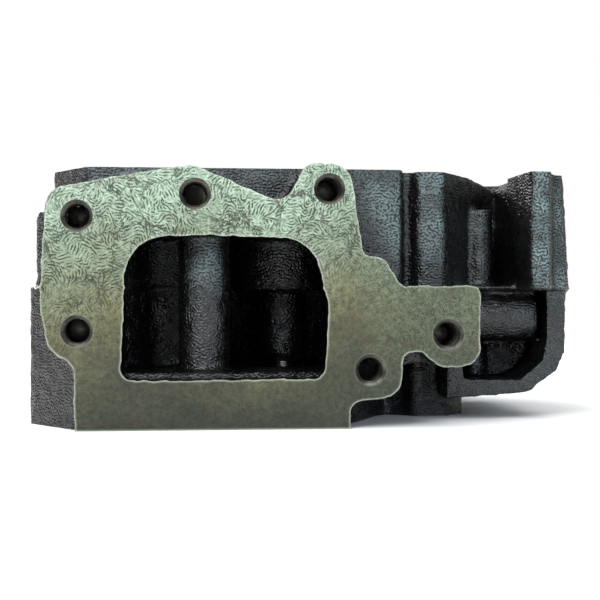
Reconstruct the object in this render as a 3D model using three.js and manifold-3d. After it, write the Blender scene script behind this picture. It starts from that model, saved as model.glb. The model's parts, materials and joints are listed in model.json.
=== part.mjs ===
// Water-cooled cylinder head of a single-cylinder diesel engine.
//
// Millimetres. +Z is up and away from the cylinder, +Y points to the exhaust side, -Y to the
// intake side. The origin is the centre of the cylinder bore on the fire deck (z = 0).
// One grey-iron casting carries two valve trains, an injector sleeve and press-in core plugs.

import * as THREE from "three";
import { mergeVertices } from "three/addons/utils/BufferGeometryUtils.js";
import Module from "manifold-3d";

const wasm = await Module();
wasm.setup();

// ---------------------------------------------------------------- driving dimensions

const HEAD_HEIGHT = 93.4; // fire deck to rocker cover rail
const PARTING_HEIGHT = 50; // split line of the two mould halves
const SHOULDER_HEIGHT = 79; // top of the wide left shoulder
const LOW_RIB_TOP = 81; // top of the half-round rib in the notch
const NOTCH_CORNER = 107; // X of the innermost corner of the notch
const RIM_DROP = 2.4; // how far the rail's rim has sunk at that corner
const LEFT_LOWER = -77; // left wall below the parting line
const LEFT_SHOULDER = -75; // left wall of the shoulder
const LEFT_RAIL = -68.5; // left wall below the rail
const DECK_RIGHT = 92; // right edge of the fire deck
const RIGHT_END = 128.3; // right end at the parting line
const BACK_WALL = 74; // exhaust side wall
const FRONT_WALL = -65.5; // intake side wall under the rail
const DRAFT = 2; // how far the upper right end leans in, bottom to top
const OVERHANG_FLOOR = 10; // underside of the right end
const OVERHANG_FRONT = -45; // front rim of the right end

const INTAKE_FACE = -80; // machined intake flange face
const FLANGE_THICKNESS = 14;
const EXHAUST_FACE = 80; // machined exhaust flange face
const OUTLET_FACE = 78; // machined pad of the coolant outlet
const CHEST_FLOOR = 76; // floor of the valve chest
const RAIL_INSET = 10; // width of the rail round the chest

const CAST_WALL = 5; // wall between any two cored spaces
const FIT_GAP = 0.3; // clearance between two neighbouring pieces

const STUD_HOLE_RADIUS = 6.75; // clears an M12 cylinder stud
const STUD_BOSS_RADIUS = 11;
const TAPPED_RADIUS = 4.25; // tapping drill of an M10 thread
const TAPPED_MOUTH_RADIUS = 6;
const TAPPED_DEPTH = 22;
const COVER_SCREW_RADIUS = 3.4; // tapping drill of an M8 thread
const COVER_SCREW_DEPTH = 16;
const PUSHROD_HOLE_RADIUS = 7;
const WATER_HOLE_RADIUS = 4.5;
const COOLANT_OUTLET = { x: 107, z: 37, radius: 9, depth: 58 };

const PORT_FLOOR = 20; // floor of the intake chamber
const PORT_CEILING = 69;
const GUIDE_BOSS_RADIUS = 9.5;
const GUIDE_BOSS_BOTTOM = 24;
const SPRING_POCKET_FLOOR = 54;
const SPRING_POCKET_RADIUS = 16.3;
const JACKET_FLOOR = 9;
const JACKET_CEILING = 44;

const STEM_RADIUS = 4;
const GUIDE_RADIUS = 6.5;
const GUIDE_TOP = 62;
const VALVE_RECESS = 0.8; // valve face sits this far above the deck
const VALVE_MARGIN = 1.5; // cylindrical rim of the valve head
const SEAT_FACE_WIDTH = 2.8; // radial width of the 45 degree face
const SEAT_MOUTH_GAP = 0.9; // the seat's mouth clears the valve head by this
const KEEPER_DROP = 6.4; // top of the collet groove below the valve tip
const TIP_HEIGHT = 91.5;
const INSERT_HEIGHT = 8;
const SPRING_SEAT_THICKNESS = 1.5;
const OUTER_SPRING_RADIUS = 13.4; // to the middle of the wire
const OUTER_WIRE_RADIUS = 1.7;
const INNER_SPRING_RADIUS = 9.7;
const INNER_WIRE_RADIUS = 1.2;
const SPRING_TURNS = 4.5;
const RETAINER_BOTTOM = 84.3; // face that the springs push on
const RETAINER_THICKNESS = 3;
const RETAINER_RADIUS = 15;
const COLLET_LENGTH = 7;
const CONE_SMALL_RADIUS = 5.3;
const CONE_LARGE_RADIUS = 6.6;
const SEAL_RADIUS = 8;
const SEAL_HEIGHT = 8;

const INJECTOR = { x: 12, y: 15 };
const SLEEVE_RADIUS = 8;
const SLEEVE_WALL = 1.2;
const SLEEVE_TOP = 84;
const NOZZLE_RADIUS = 4;
const NOZZLE_SEAT = 6; // bottom of the sleeve above the deck

const OIL_RADIUS = 3;
const OIL_FEED = { x: -60, y: -25, z: 64 }; // riser from the deck meets the cross drilling
const GALLERY_PLUG_RADIUS = 7;
const GALLERY_PLUG_LENGTH = 9;

const PLUG_RADIUS = 12;
const PLUG_DEPTH = 7;
const PLUG_SHEET = 1.8;
const CORE_HOLE_DEPTH = 20; // reaches from a wall into the water jacket

const VALVES = {
  intake: { x: 20, y: -15, headRadius: 20, insertRadius: 22.5, throatRadius: 17 },
  exhaust: { x: -17, y: 14, headRadius: 17.5, insertRadius: 20, throatRadius: 14.5 },
};

// Five studs hold the head down on the cylinder.
const STUDS = [
  [-13, -57],
  [64, -8],
  [40, 50],
  [-42, 47],
  [-58, -8],
];
const PUSHRODS = [
  [60, 30],
  [16, 62],
];
const COVER_SCREWS = [
  [-46, -57],
  [38, -57],
  [-63, 58],
  [-10, 69],
  [82, 64],
  [114, -36],
];
// Tapped holes of the intake flange, X and Z.
const INTAKE_HOLES = [
  [-58, 75],
  [-17, 83],
  [30.5, 85],
  [-58, 34.9],
  [73.3, 33.4],
  [45.2, 20.9],
];
const EXHAUST_PORT = { x: -14, z: 40, halfWidth: 14, halfHeight: 15 };
const EXHAUST_STUD_SPACING = 52;

// ---------------------------------------------------------------- colours

const finish = (color, roughness, metalness) =>
  new THREE.MeshStandardMaterial({ color, roughness, metalness });
const CAST_IRON = finish("#2b2d2c", 0.55, 0.6);
const VALVE_STEEL = finish("#8d9194", 0.3, 0.95);
const EXHAUST_STEEL = finish("#77736d", 0.4, 0.95);
const SEAT_IRON = finish("#9a9c9a", 0.35, 0.9);
const GUIDE_BRONZE = finish("#a98b57", 0.4, 0.9);
const SPRING_STEEL = finish("#4b5157", 0.35, 0.85);
const RETAINER_STEEL = finish("#5e6468", 0.45, 0.85);
const COLLET_STEEL = finish("#6f767c", 0.35, 0.9);
const SEAL_RUBBER = finish("#3a2a22", 0.7, 0);
const COPPER = finish("#b0714a", 0.35, 0.95);
const PLUG_ZINC = finish("#a7a48f", 0.4, 0.85);
const PLUG_STEEL = finish("#595b58", 0.45, 0.85);

// ---------------------------------------------------------------- shapes to solids

const CORNER_STEPS = 4;
const SHORTEST_ROUND = 0.2; // a corner whose round would be shorter than this stays sharp

// An outline of [x, y, radius] corners becomes a list of points, each corner a round one.
function rounded(corners, steps = CORNER_STEPS) {
  const points = [];
  corners.forEach(([x, y, radius = 0], i) => {
    const corner = new THREE.Vector2(x, y);
    if (radius === 0) {
      points.push(corner);
      return;
    }
    const before = corners[(i + corners.length - 1) % corners.length];
    const after = corners[(i + 1) % corners.length];
    const back = new THREE.Vector2(before[0] - x, before[1] - y);
    const ahead = new THREE.Vector2(after[0] - x, after[1] - y);
    const room = 0.48 * Math.min(back.length(), ahead.length());
    back.normalize();
    ahead.normalize();
    const halfAngle = Math.acos(THREE.MathUtils.clamp(back.dot(ahead), -1, 1)) / 2;
    const reach = Math.min(radius / Math.tan(halfAngle), room);
    if (reach < SHORTEST_ROUND) {
      points.push(corner);
      return;
    }
    const first = corner.clone().addScaledVector(back, reach);
    const last = corner.clone().addScaledVector(ahead, reach);
    const centre = back.clone().add(ahead).normalize();
    centre.multiplyScalar(reach / Math.cos(halfAngle)).add(corner);
    const start = Math.atan2(first.y - centre.y, first.x - centre.x);
    let sweep = Math.atan2(last.y - centre.y, last.x - centre.x) - start;
    sweep = Math.atan2(Math.sin(sweep), Math.cos(sweep));
    const r = first.distanceTo(centre);
    for (let k = 0; k <= steps; k++) {
      const a = start + (sweep * k) / steps;
      points.push(new THREE.Vector2(centre.x + r * Math.cos(a), centre.y + r * Math.sin(a)));
    }
  });
  return points;
}

function toSolid(geometry) {
  geometry.deleteAttribute("normal");
  geometry.deleteAttribute("uv");
  const merged = mergeVertices(geometry, 1e-4);
  return new wasm.Manifold(
    new wasm.Mesh({
      numProp: 3,
      vertProperties: merged.attributes.position.array,
      triVerts: new Uint32Array(merged.index.array),
    }),
  );
}

function prism(corners, depth) {
  const shape = new THREE.Shape(rounded(corners));
  return new THREE.ExtrudeGeometry(shape, { depth, bevelEnabled: false });
}

// A plan outline (X, Y) standing from bottom to top.
function slab(corners, bottom, top) {
  return toSolid(prism(corners, top - bottom).translate(0, 0, bottom));
}

// A front outline (X, Z) running from the front plane to the back plane along Y.
function frontPlate(corners, front, back) {
  return toSolid(prism(corners, back - front).rotateX(Math.PI / 2).translate(0, back, 0));
}

// Two plan outlines with the same corners, one above the other, joined by sloping walls.
function loft(lower, bottom, upper, top) {
  const low = rounded(lower);
  const high = rounded(upper);
  const n = low.length;
  const positions = [];
  low.forEach((p) => positions.push(p.x, p.y, bottom));
  high.forEach((p) => positions.push(p.x, p.y, top));
  const index = [];
  for (let i = 0; i < n; i++) {
    const j = (i + 1) % n;
    index.push(i, j, n + j, i, n + j, n + i);
  }
  THREE.ShapeUtils.triangulateShape(low, []).forEach(([a, b, c]) => index.push(a, c, b));
  THREE.ShapeUtils.triangulateShape(high, []).forEach(([a, b, c]) => {
    index.push(n + a, n + b, n + c);
  });
  const geometry = new THREE.BufferGeometry();
  geometry.setAttribute("position", new THREE.Float32BufferAttribute(positions, 3));
  geometry.setIndex(index);
  return toSolid(geometry);
}

// A round post along Z, straight or tapered.
function post(x, y, bottom, top, radius, sides = 24, topRadius = radius) {
  const height = top - bottom;
  const geometry = new THREE.CylinderGeometry(topRadius, radius, height, sides);
  return toSolid(geometry.rotateX(Math.PI / 2).translate(x, y, bottom + height / 2));
}

// A round bar along Y, straight or tapered.
function barY(x, z, front, back, radius, sides = 24, backRadius = radius) {
  const length = back - front;
  const geometry = new THREE.CylinderGeometry(backRadius, radius, length, sides);
  return toSolid(geometry.translate(x, front + length / 2, z));
}

// A round bar along X.
function barX(y, z, left, right, radius, sides = 24) {
  const length = right - left;
  const geometry = new THREE.CylinderGeometry(radius, radius, length, sides);
  return toSolid(geometry.rotateZ(Math.PI / 2).translate(left + length / 2, y, z));
}

// A turned piece: its profile of [radius, z] points goes round once and closes.
function turned(profile, sides = 32) {
  const points = profile.map(([r, z]) => new THREE.Vector2(r, z));
  if (profile[0][0] > 0) points.push(points[0].clone());
  const geometry = new THREE.LatheGeometry(points, sides).rotateX(Math.PI / 2);
  return toSolid(geometry);
}

const joined = (solids) => solids.reduce((all, one) => all.add(one));
const without = (body, tools) => tools.reduce((left, tool) => left.subtract(tool), body);

function piece(name, solid, material, x = 0, y = 0) {
  const made = solid.getMesh();
  const geometry = new THREE.BufferGeometry();
  geometry.setAttribute("position", new THREE.Float32BufferAttribute(made.vertProperties, 3));
  geometry.setIndex(new THREE.Uint32BufferAttribute(made.triVerts, 1));
  geometry.computeVertexNormals();
  const mesh = new THREE.Mesh(geometry, material);
  mesh.name = name;
  mesh.position.set(x, y, 0);
  return mesh;
}

// ---------------------------------------------------------------- outer shape of the casting

// Fire deck outline. The front right corner is cut back beside the intake flange.
const deckOutline = [
  [LEFT_LOWER, -46, 4],
  [-59, -74, 2],
  [37.8, -74, 1],
  [39, -62, 3],
  [46, -49, 4],
  [55, -28, 5],
  [60, -22, 3],
  [67, -25, 3],
  [70, -30, 3],
  [84, -28, 5],
  [DECK_RIGHT, -19, 2],
  [DECK_RIGHT, 56, 10],
  [78, BACK_WALL, 10],
  [LEFT_LOWER, BACK_WALL, 8],
];

const shoulderOutline = [
  [LEFT_SHOULDER, -42, 4],
  [-61, FRONT_WALL, 4],
  [0, FRONT_WALL, 1],
  [0, BACK_WALL, 1],
  [LEFT_SHOULDER, BACK_WALL, 8],
];

// Outline of the upper half. A notch with one sloping and one square wall opens the front
// right, and a narrow groove and ribs stand beside it.
function upperOutline(leanIn) {
  const right = RIGHT_END - leanIn;
  return [
    [LEFT_RAIL, -41, 5],
    [-55, FRONT_WALL, 4],
    [59, FRONT_WALL, 2.5],
    [61, -54, 2],
    [64.5, -53.5, 1.5],
    [66, -58.5, 3],
    [75.5, -59.5, 3.5],
    [NOTCH_CORNER, -10, 1.5],
    [NOTCH_CORNER + 0.5, FRONT_WALL, 3],
    [115, FRONT_WALL, 3],
    [118, -56],
    [120.5, -51, 1],
    [right - 2, -49, 2],
    [right, -44],
    [right, 50, 12],
    [104, BACK_WALL, 12],
    [LEFT_RAIL, BACK_WALL, 8],
  ];
}

// Intake flange seen from the front: six bolt lobes round the chamber mouth.
const flangeOutline = [
  [-58.5, 0, 0],
  [-59.2, 23, 5],
  [-68, 28.5, 9],
  [-70.6, 44, 12],
  [-70, 63, 6],
  [-68.3, 84.2, 7],
  [-36, 90.4],
  [-17.5, 93.2, 5],
  [14.5, 79.3, 6],
  [22.6, 94, 4],
  [38, 94, 8],
  [42.5, 61.5, 2.5],
  [50.5, 60.5, 5],
  [56.5, 50.4, 1.5],
  [85, 50.6, 3],
  [85, 21.5, 10],
  [70, 21.8, 9],
  [62.6, 28.2, 5],
  [56.6, 26, 3],
  [56.6, 11.2, 10],
  [37.8, 9.6, 4],
  [37.8, 0, 0],
];

const mouthOutline = [
  [-43, 17.4, 4],
  [-41, 67.6, 14],
  [-12, 68.4, 20],
  [24.5, 67.4, 13],
  [30.2, 44, 12],
  [29, 17.6, 4],
];

// Right end under the parting line, seen from the front.
const overhangOutline = [
  [80, OVERHANG_FLOOR - 2, 0],
  [90, OVERHANG_FLOOR - 1.5, 2],
  [112, OVERHANG_FLOOR, 4],
  [124, 19, 4],
  [RIGHT_END - 1.5, 26, 4],
  [RIGHT_END - 1, PARTING_HEIGHT + 1, 0],
  [80, PARTING_HEIGHT + 1, 0],
];

function outerBody() {
  const above = PARTING_HEIGHT + 0.5;
  const deck = slab(deckOutline, 0, above);
  const overhang = frontPlate(overhangOutline, OVERHANG_FRONT, 54);
  const shoulder = slab(shoulderOutline, PARTING_HEIGHT - 1, SHOULDER_HEIGHT);
  const upper = loft(upperOutline(0), PARTING_HEIGHT, upperOutline(DRAFT), HEAD_HEIGHT);
  const flange = frontPlate(flangeOutline, INTAKE_FACE, INTAKE_FACE + FLANGE_THICKNESS);
  const neck = frontPlate(
    [
      [-57, 0.5, 0],
      [-57, 78, 6],
      [-20, 80, 6],
      [36, 78, 6],
      [36, 0.5, 0],
    ],
    INTAKE_FACE + FLANGE_THICKNESS - 1,
    FRONT_WALL + 2,
  );
  const ear = frontPlate(
    [
      [52, 20, 4],
      [52, 48, 2],
      [84, 48, 2],
      [84, 23, 9],
      [64, 23, 4],
    ],
    INTAKE_FACE + FLANGE_THICKNESS - 1,
    -24,
  );
  return joined([deck, overhang, shoulder, upper, flange, neck, ear]);
}

// The slope that chamfers the left shoulder, the lowered rim of the notch and the rounded
// right end of the rail.
function edgeCuts() {
  const shoulderSlope = frontPlate(
    [
      [LEFT_SHOULDER - 3, SHOULDER_HEIGHT - 5],
      [LEFT_SHOULDER + 3.5, SHOULDER_HEIGHT + 1.5],
      [LEFT_SHOULDER - 3, SHOULDER_HEIGHT + 3],
    ],
    -70,
    BACK_WALL + 2,
  );
  const rightSlope = frontPlate(
    [
      [RIGHT_END - DRAFT - 3, HEAD_HEIGHT + 1],
      [RIGHT_END + 1, HEAD_HEIGHT - 5],
      [RIGHT_END + 3, HEAD_HEIGHT + 3],
    ],
    -60,
    BACK_WALL + 2,
  );
  const rimWedge = frontPlate(
    [
      [76, HEAD_HEIGHT],
      [NOTCH_CORNER, HEAD_HEIGHT - RIM_DROP],
      [112, HEAD_HEIGHT - RIM_DROP],
      [112, HEAD_HEIGHT + 2],
      [76, HEAD_HEIGHT + 2],
    ],
    -62,
    2,
  );
  const besideNotch = slab(
    [
      [72, -60],
      [112, -28],
      [112, 2],
      [NOTCH_CORNER - 4, 2],
    ],
    HEAD_HEIGHT - 4,
    HEAD_HEIGHT + 2,
  );
  const notchRim = rimWedge.intersect(besideNotch);
  return [shoulderSlope, rightSlope, notchRim];
}

// Low rib in the notch, a pocket in the right end with the coolant pipe and a lug inside it.
function rightEndPocket() {
  return frontPlate(
    [
      [86.5, 15, 3],
      [109, 15, 4],
      [118, 22.5, 4],
      [119.5, 32, 4],
      [119.5, PARTING_HEIGHT, 0],
      [86.5, PARTING_HEIGHT, 0],
    ],
    OVERHANG_FRONT - 2,
    -18,
  );
}

function rightEndDetails() {
  const pipe = barX(-32, 39.5, 80, 117, 10, 28);
  const lug = post(97, -19, 14, 27, 4.5, 16);
  const rib = post(96, -33, PARTING_HEIGHT + 0.5, LOW_RIB_TOP, 5.4, 20, 4.6);
  return [pipe, lug, rib];
}

// ---------------------------------------------------------------- cored spaces

// Chamber between the intake flange and the intake valve, without the bosses left inside it.
function intakeChamber(grow) {
  const plan = [
    [-44 - grow, INTAKE_FACE + 4, 4],
    [31.5 + grow, INTAKE_FACE + 4, 4],
    [33 + grow, -50, 8],
    [44 + grow, -26 + grow, 10],
    [42 + grow, 4 + grow, 14],
    [20, 8 + grow, 10],
    [-3 - grow, -5 + grow, 10],
    [-12, -33 + grow, 8],
    [-32, -35 + grow, 8],
    [-44 - grow, -48 + grow, 8],
  ];
  return slab(plan, PORT_FLOOR - grow, PORT_CEILING + grow);
}

function intakeBosses() {
  const { x, y } = VALVES.intake;
  const guideBoss = post(x, y, GUIDE_BOSS_BOTTOM, PORT_CEILING + 1, GUIDE_BOSS_RADIUS, 28);
  const pocketBoss = post(
    x,
    y,
    SPRING_POCKET_FLOOR - CAST_WALL + 0.5,
    PORT_CEILING + 1,
    SPRING_POCKET_RADIUS + CAST_WALL,
    32,
  );
  const [studX, studY] = STUDS[0];
  const studColumn = post(studX, studY, PORT_FLOOR - 1, PORT_CEILING + 1, GUIDE_BOSS_RADIUS, 28);
  return joined([guideBoss, pocketBoss, studColumn]);
}

function intakeSpace() {
  const mouth = frontPlate(mouthOutline, INTAKE_FACE - 2, INTAKE_FACE + 6);
  const { x, y, throatRadius } = VALVES.intake;
  const bowl = post(x, y, INSERT_HEIGHT, PORT_FLOOR + 0.5, throatRadius, 32, throatRadius + 4);
  return intakeChamber(0).subtract(intakeBosses()).add(mouth).add(bowl);
}

// Exhaust passage: a bowl over the valve, then a square-cornered duct to the back flange.
function exhaustSpace(grow) {
  const { x, y, throatRadius } = VALVES.exhaust;
  const { halfWidth, halfHeight, z } = EXHAUST_PORT;
  const low = z - halfHeight - grow;
  const high = z + halfHeight + grow;
  const top = SPRING_POCKET_FLOOR - CAST_WALL + 0.5 + grow * 0.5;
  const bowl = post(x, y, INSERT_HEIGHT, 24, throatRadius + grow, 32, throatRadius + 4 + grow);
  const dome = post(x, y, 23.5, top, throatRadius + 4 + grow, 32);
  const duct = frontPlate(
    [
      [EXHAUST_PORT.x - halfWidth - grow, low, 9],
      [EXHAUST_PORT.x + halfWidth + grow, low, 9],
      [EXHAUST_PORT.x + halfWidth + grow, high, 9],
      [EXHAUST_PORT.x - halfWidth - grow, high, 9],
    ],
    y + 12,
    EXHAUST_FACE + 2,
  );
  const ceiling = slab(
    [
      [-60, -20],
      [30, -20],
      [30, y + SPRING_POCKET_RADIUS + CAST_WALL + 4],
      [-60, y + SPRING_POCKET_RADIUS + CAST_WALL + 4],
    ],
    top,
    HEAD_HEIGHT,
  );
  return joined([bowl, dome, duct]).subtract(ceiling);
}

function exhaustGuideBoss() {
  const { x, y } = VALVES.exhaust;
  return post(x, y, GUIDE_BOSS_BOTTOM + 2, SPRING_POCKET_FLOOR, GUIDE_BOSS_RADIUS - 0.5, 24);
}

// Valve chest sunk into the top, with a thick front rail that holds two studs.
function valveChest() {
  const chest = slab(
    [
      [LEFT_RAIL + RAIL_INSET, -37, 4],
      [-51, -45, 4],
      [56, -45, 4],
      [72, -42, 4],
      [91, -8, 5],
      [91, 64, 8],
      [LEFT_RAIL + RAIL_INSET, 64, 6],
    ],
    CHEST_FLOOR,
    HEAD_HEIGHT + 1,
  );
  const pockets = Object.values(VALVES).map(({ x, y }) =>
    post(x, y, SPRING_POCKET_FLOOR, CHEST_FLOOR + 1, SPRING_POCKET_RADIUS, 36),
  );
  const leftStud = post(STUDS[4][0], STUDS[4][1], CHEST_FLOOR, HEAD_HEIGHT, STUD_BOSS_RADIUS, 24);
  const injectorBoss = post(
    INJECTOR.x,
    INJECTOR.y,
    CHEST_FLOOR - 1,
    SLEEVE_TOP - 2,
    SLEEVE_RADIUS + CAST_WALL,
    28,
  );
  return joined([chest, ...pockets]).subtract(leftStud).subtract(injectorBoss);
}

// Cored pocket that lightens the right end.
const rightPocket = () =>
  slab(
    [
      [102, 6, 5],
      [117, 6, 5],
      [117, 46, 5],
      [102, 46, 5],
    ],
    58,
    HEAD_HEIGHT + 1,
  );

// Coolant space between the deck and the chamber floors, round the ports and bosses.
function waterJacket() {
  const plan = [
    [LEFT_LOWER + 8, -38, 6],
    [-54, -40, 4],
    [-20, -26, 4],
    [0, -14, 4],
    [30, 16, 4],
    [52, 12, 4],
    [56, -14, 4],
    [DECK_RIGHT - 9, -18, 4],
    [DECK_RIGHT - 9, 52, 6],
    [74, BACK_WALL - 9, 6],
    [LEFT_LOWER + 8, BACK_WALL - 9, 6],
  ];
  const jacket = slab(plan, JACKET_FLOOR, JACKET_CEILING);
  const keep = [
    intakeChamber(CAST_WALL),
    exhaustSpace(CAST_WALL),
    ...STUDS.map(([x, y]) => post(x, y, 0, HEAD_HEIGHT, STUD_BOSS_RADIUS, 20)),
    ...PUSHRODS.map(([x, y]) => post(x, y, 0, HEAD_HEIGHT, PUSHROD_HOLE_RADIUS + CAST_WALL, 20)),
    post(INJECTOR.x, INJECTOR.y, 0, HEAD_HEIGHT, SLEEVE_RADIUS + CAST_WALL, 24),
    post(OIL_FEED.x, OIL_FEED.y, 0, HEAD_HEIGHT, OIL_RADIUS + CAST_WALL, 16),
    ...Object.values(VALVES).map(({ x, y, insertRadius }) =>
      post(x, y, 0, INSERT_HEIGHT + CAST_WALL, insertRadius + CAST_WALL, 28),
    ),
  ];
  const parts = without(jacket, keep).decompose();
  return parts.reduce((big, one) => (one.volume() > big.volume() ? one : big));
}

const CORE_PLUGS = {
  core_plug_left: { x: LEFT_LOWER, y: 26, z: 26, along: "x", side: -1 },
  core_plug_back: { x: 62, y: BACK_WALL, z: 26, along: "y", side: 1 },
  core_plug_back_left: { x: -62, y: BACK_WALL, z: 26, along: "y", side: 1 },
  core_plug_right: { x: RIGHT_END, y: 20, z: 34, along: "x", side: 1 },
};
const WATER_HOLES = [
  [-66, 12],
  [-30, 62],
  [66, 52],
  [76, 24],
];

// ---------------------------------------------------------------- machined holes

function tappedHole(x, z, face, inward) {
  const drill = barY(
    x,
    z,
    Math.min(face - inward, face + inward * TAPPED_DEPTH),
    Math.max(face - inward, face + inward * TAPPED_DEPTH),
    TAPPED_RADIUS,
    20,
  );
  const lead = TAPPED_MOUTH_RADIUS - TAPPED_RADIUS;
  const front = Math.min(face, face + inward * lead);
  const atFront = inward > 0 ? TAPPED_MOUTH_RADIUS : TAPPED_RADIUS;
  const atBack = inward > 0 ? TAPPED_RADIUS : TAPPED_MOUTH_RADIUS;
  return drill.add(barY(x, z, front, front + lead, atFront, 20, atBack));
}

function valveBores({ x, y, insertRadius, throatRadius }) {
  const insertBore = post(x, y, -1, INSERT_HEIGHT + FIT_GAP, insertRadius + FIT_GAP, 40);
  const throat = post(x, y, 0, INSERT_HEIGHT + 1, throatRadius, 32);
  const guideBore = post(x, y, 4, SPRING_POCKET_FLOOR + 1, GUIDE_RADIUS + FIT_GAP, 28);
  return joined([insertBore, throat, guideBore]);
}

const SLEEVE_CONE = SLEEVE_RADIUS - NOZZLE_RADIUS - SLEEVE_WALL;

function injectorBore() {
  const outer = SLEEVE_RADIUS + FIT_GAP;
  const nose = NOZZLE_RADIUS + SLEEVE_WALL + FIT_GAP;
  const coneBottom = NOZZLE_SEAT + 6;
  const bore = turned(
    [
      [0, -1],
      [NOZZLE_RADIUS, -1],
      [NOZZLE_RADIUS, NOZZLE_SEAT - FIT_GAP],
      [nose, NOZZLE_SEAT - FIT_GAP],
      [nose, coneBottom],
      [outer, coneBottom + SLEEVE_CONE],
      [outer, HEAD_HEIGHT],
      [0, HEAD_HEIGHT],
    ],
    28,
  );
  return bore.translate([INJECTOR.x, INJECTOR.y, 0]);
}

function plugHole({ x, y, z, along, side }) {
  const radius = PLUG_RADIUS + FIT_GAP;
  if (along === "y") return barY(x, z, y - CORE_HOLE_DEPTH, y + 1, radius, 32);
  if (side < 0) return barX(y, z, x - 1, x + CORE_HOLE_DEPTH, radius, 32);
  return barX(y, z, DECK_RIGHT - CORE_HOLE_DEPTH, x + 1, radius, 32);
}

// Rocker oil rises from the deck, turns into a cross drilling and comes up in the chest.
function oilGallery() {
  const { x, y, z } = OIL_FEED;
  const outletX = x + 10;
  return joined([
    post(x, y, -1, z + 1, OIL_RADIUS, 16),
    barX(y, z, LEFT_SHOULDER - 1, outletX + 1, OIL_RADIUS, 16),
    post(outletX, y, z, CHEST_FLOOR + 1, OIL_RADIUS, 16),
    barX(
      y,
      z,
      LEFT_SHOULDER - 1,
      LEFT_SHOULDER + GALLERY_PLUG_LENGTH,
      GALLERY_PLUG_RADIUS + FIT_GAP,
      24,
    ),
  ]);
}

// Bore that takes the coolant from the right end to the outlet pad.
function coolantOutlet() {
  const { x, z, radius, depth } = COOLANT_OUTLET;
  return barY(x, z, OUTLET_FACE - depth, OUTLET_FACE + 2, radius, 28);
}

function headCasting() {
  const { x: outletX, z: outletZ } = COOLANT_OUTLET;
  const outlet = frontPlate(
    [
      [outletX - 15, outletZ - 13, 6],
      [outletX + 15, outletZ - 13, 6],
      [outletX + 15, outletZ + 13, 6],
      [outletX - 15, outletZ + 13, 6],
    ],
    BACK_WALL - 24,
    OUTLET_FACE,
  );
  const padWidth = EXHAUST_STUD_SPACING / 2 + STUD_BOSS_RADIUS;
  const padHeight = EXHAUST_PORT.halfHeight + 12;
  const exhaustPad = frontPlate(
    [
      [EXHAUST_PORT.x, EXHAUST_PORT.z - padHeight, 12],
      [EXHAUST_PORT.x + padWidth, EXHAUST_PORT.z - 10, 10],
      [EXHAUST_PORT.x + padWidth, EXHAUST_PORT.z + 10, 10],
      [EXHAUST_PORT.x, EXHAUST_PORT.z + padHeight, 12],
      [EXHAUST_PORT.x - padWidth, EXHAUST_PORT.z + 10, 10],
      [EXHAUST_PORT.x - padWidth, EXHAUST_PORT.z - 10, 10],
    ],
    BACK_WALL - 2,
    EXHAUST_FACE,
  );
  const body = without(outerBody().add(exhaustPad), [...edgeCuts(), rightEndPocket()]);
  const solid = joined([body, outlet, ...rightEndDetails()]);
  const holes = [
    intakeSpace(),
    exhaustSpace(0).subtract(exhaustGuideBoss()),
    valveChest(),
    rightPocket(),
    waterJacket(),
    ...Object.values(VALVES).map(valveBores),
    injectorBore(),
    oilGallery(),
    ...STUDS.map(([x, y]) => post(x, y, -1, HEAD_HEIGHT + 1, STUD_HOLE_RADIUS, 24)),
    ...PUSHRODS.map(([x, y]) => post(x, y, -1, HEAD_HEIGHT + 1, PUSHROD_HOLE_RADIUS, 24)),
    ...WATER_HOLES.map(([x, y]) => post(x, y, -1, JACKET_FLOOR + 1, WATER_HOLE_RADIUS, 16)),
    ...INTAKE_HOLES.map(([x, z]) => tappedHole(x, z, INTAKE_FACE, 1)),
    ...[-0.5, 0.5].map((half) =>
      tappedHole(EXHAUST_PORT.x + half * EXHAUST_STUD_SPACING, EXHAUST_PORT.z, EXHAUST_FACE, -1),
    ),
    ...COVER_SCREWS.map(([x, y]) =>
      post(x, y, HEAD_HEIGHT - COVER_SCREW_DEPTH, HEAD_HEIGHT + 1, COVER_SCREW_RADIUS, 14),
    ),
    ...Object.values(CORE_PLUGS).map(plugHole),
    coolantOutlet(),
  ];
  return without(solid, holes);
}

// ---------------------------------------------------------------- valve train pieces

function valveInsert({ headRadius, insertRadius, throatRadius }) {
  const mouth = headRadius + SEAT_MOUTH_GAP;
  const low = 0.1;
  const rim = VALVE_RECESS + VALVE_MARGIN - 0.3;
  return turned(
    [
      [insertRadius, low],
      [insertRadius, INSERT_HEIGHT],
      [throatRadius + FIT_GAP, INSERT_HEIGHT],
      [throatRadius + FIT_GAP, rim + mouth - throatRadius - FIT_GAP],
      [mouth, rim],
      [mouth, low],
    ],
    40,
  );
}

function valve({ headRadius }) {
  const rim = VALVE_RECESS + VALVE_MARGIN;
  const inner = headRadius - SEAT_FACE_WIDTH;
  const keeper = TIP_HEIGHT - KEEPER_DROP;
  return turned(
    [
      [0, VALVE_RECESS],
      [headRadius, VALVE_RECESS],
      [headRadius, rim],
      [inner, rim + SEAT_FACE_WIDTH],
      [inner * 0.62, rim + SEAT_FACE_WIDTH + 2.2],
      [inner * 0.36, rim + SEAT_FACE_WIDTH + 6],
      [STEM_RADIUS, rim + SEAT_FACE_WIDTH + 12],
      [STEM_RADIUS, keeper - 1.7],
      [STEM_RADIUS - 0.7, keeper - 1.2],
      [STEM_RADIUS - 0.7, keeper],
      [STEM_RADIUS, keeper + 0.5],
      [STEM_RADIUS, TIP_HEIGHT - 0.8],
      [STEM_RADIUS - 0.8, TIP_HEIGHT],
      [0, TIP_HEIGHT],
    ],
    36,
  );
}

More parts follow.
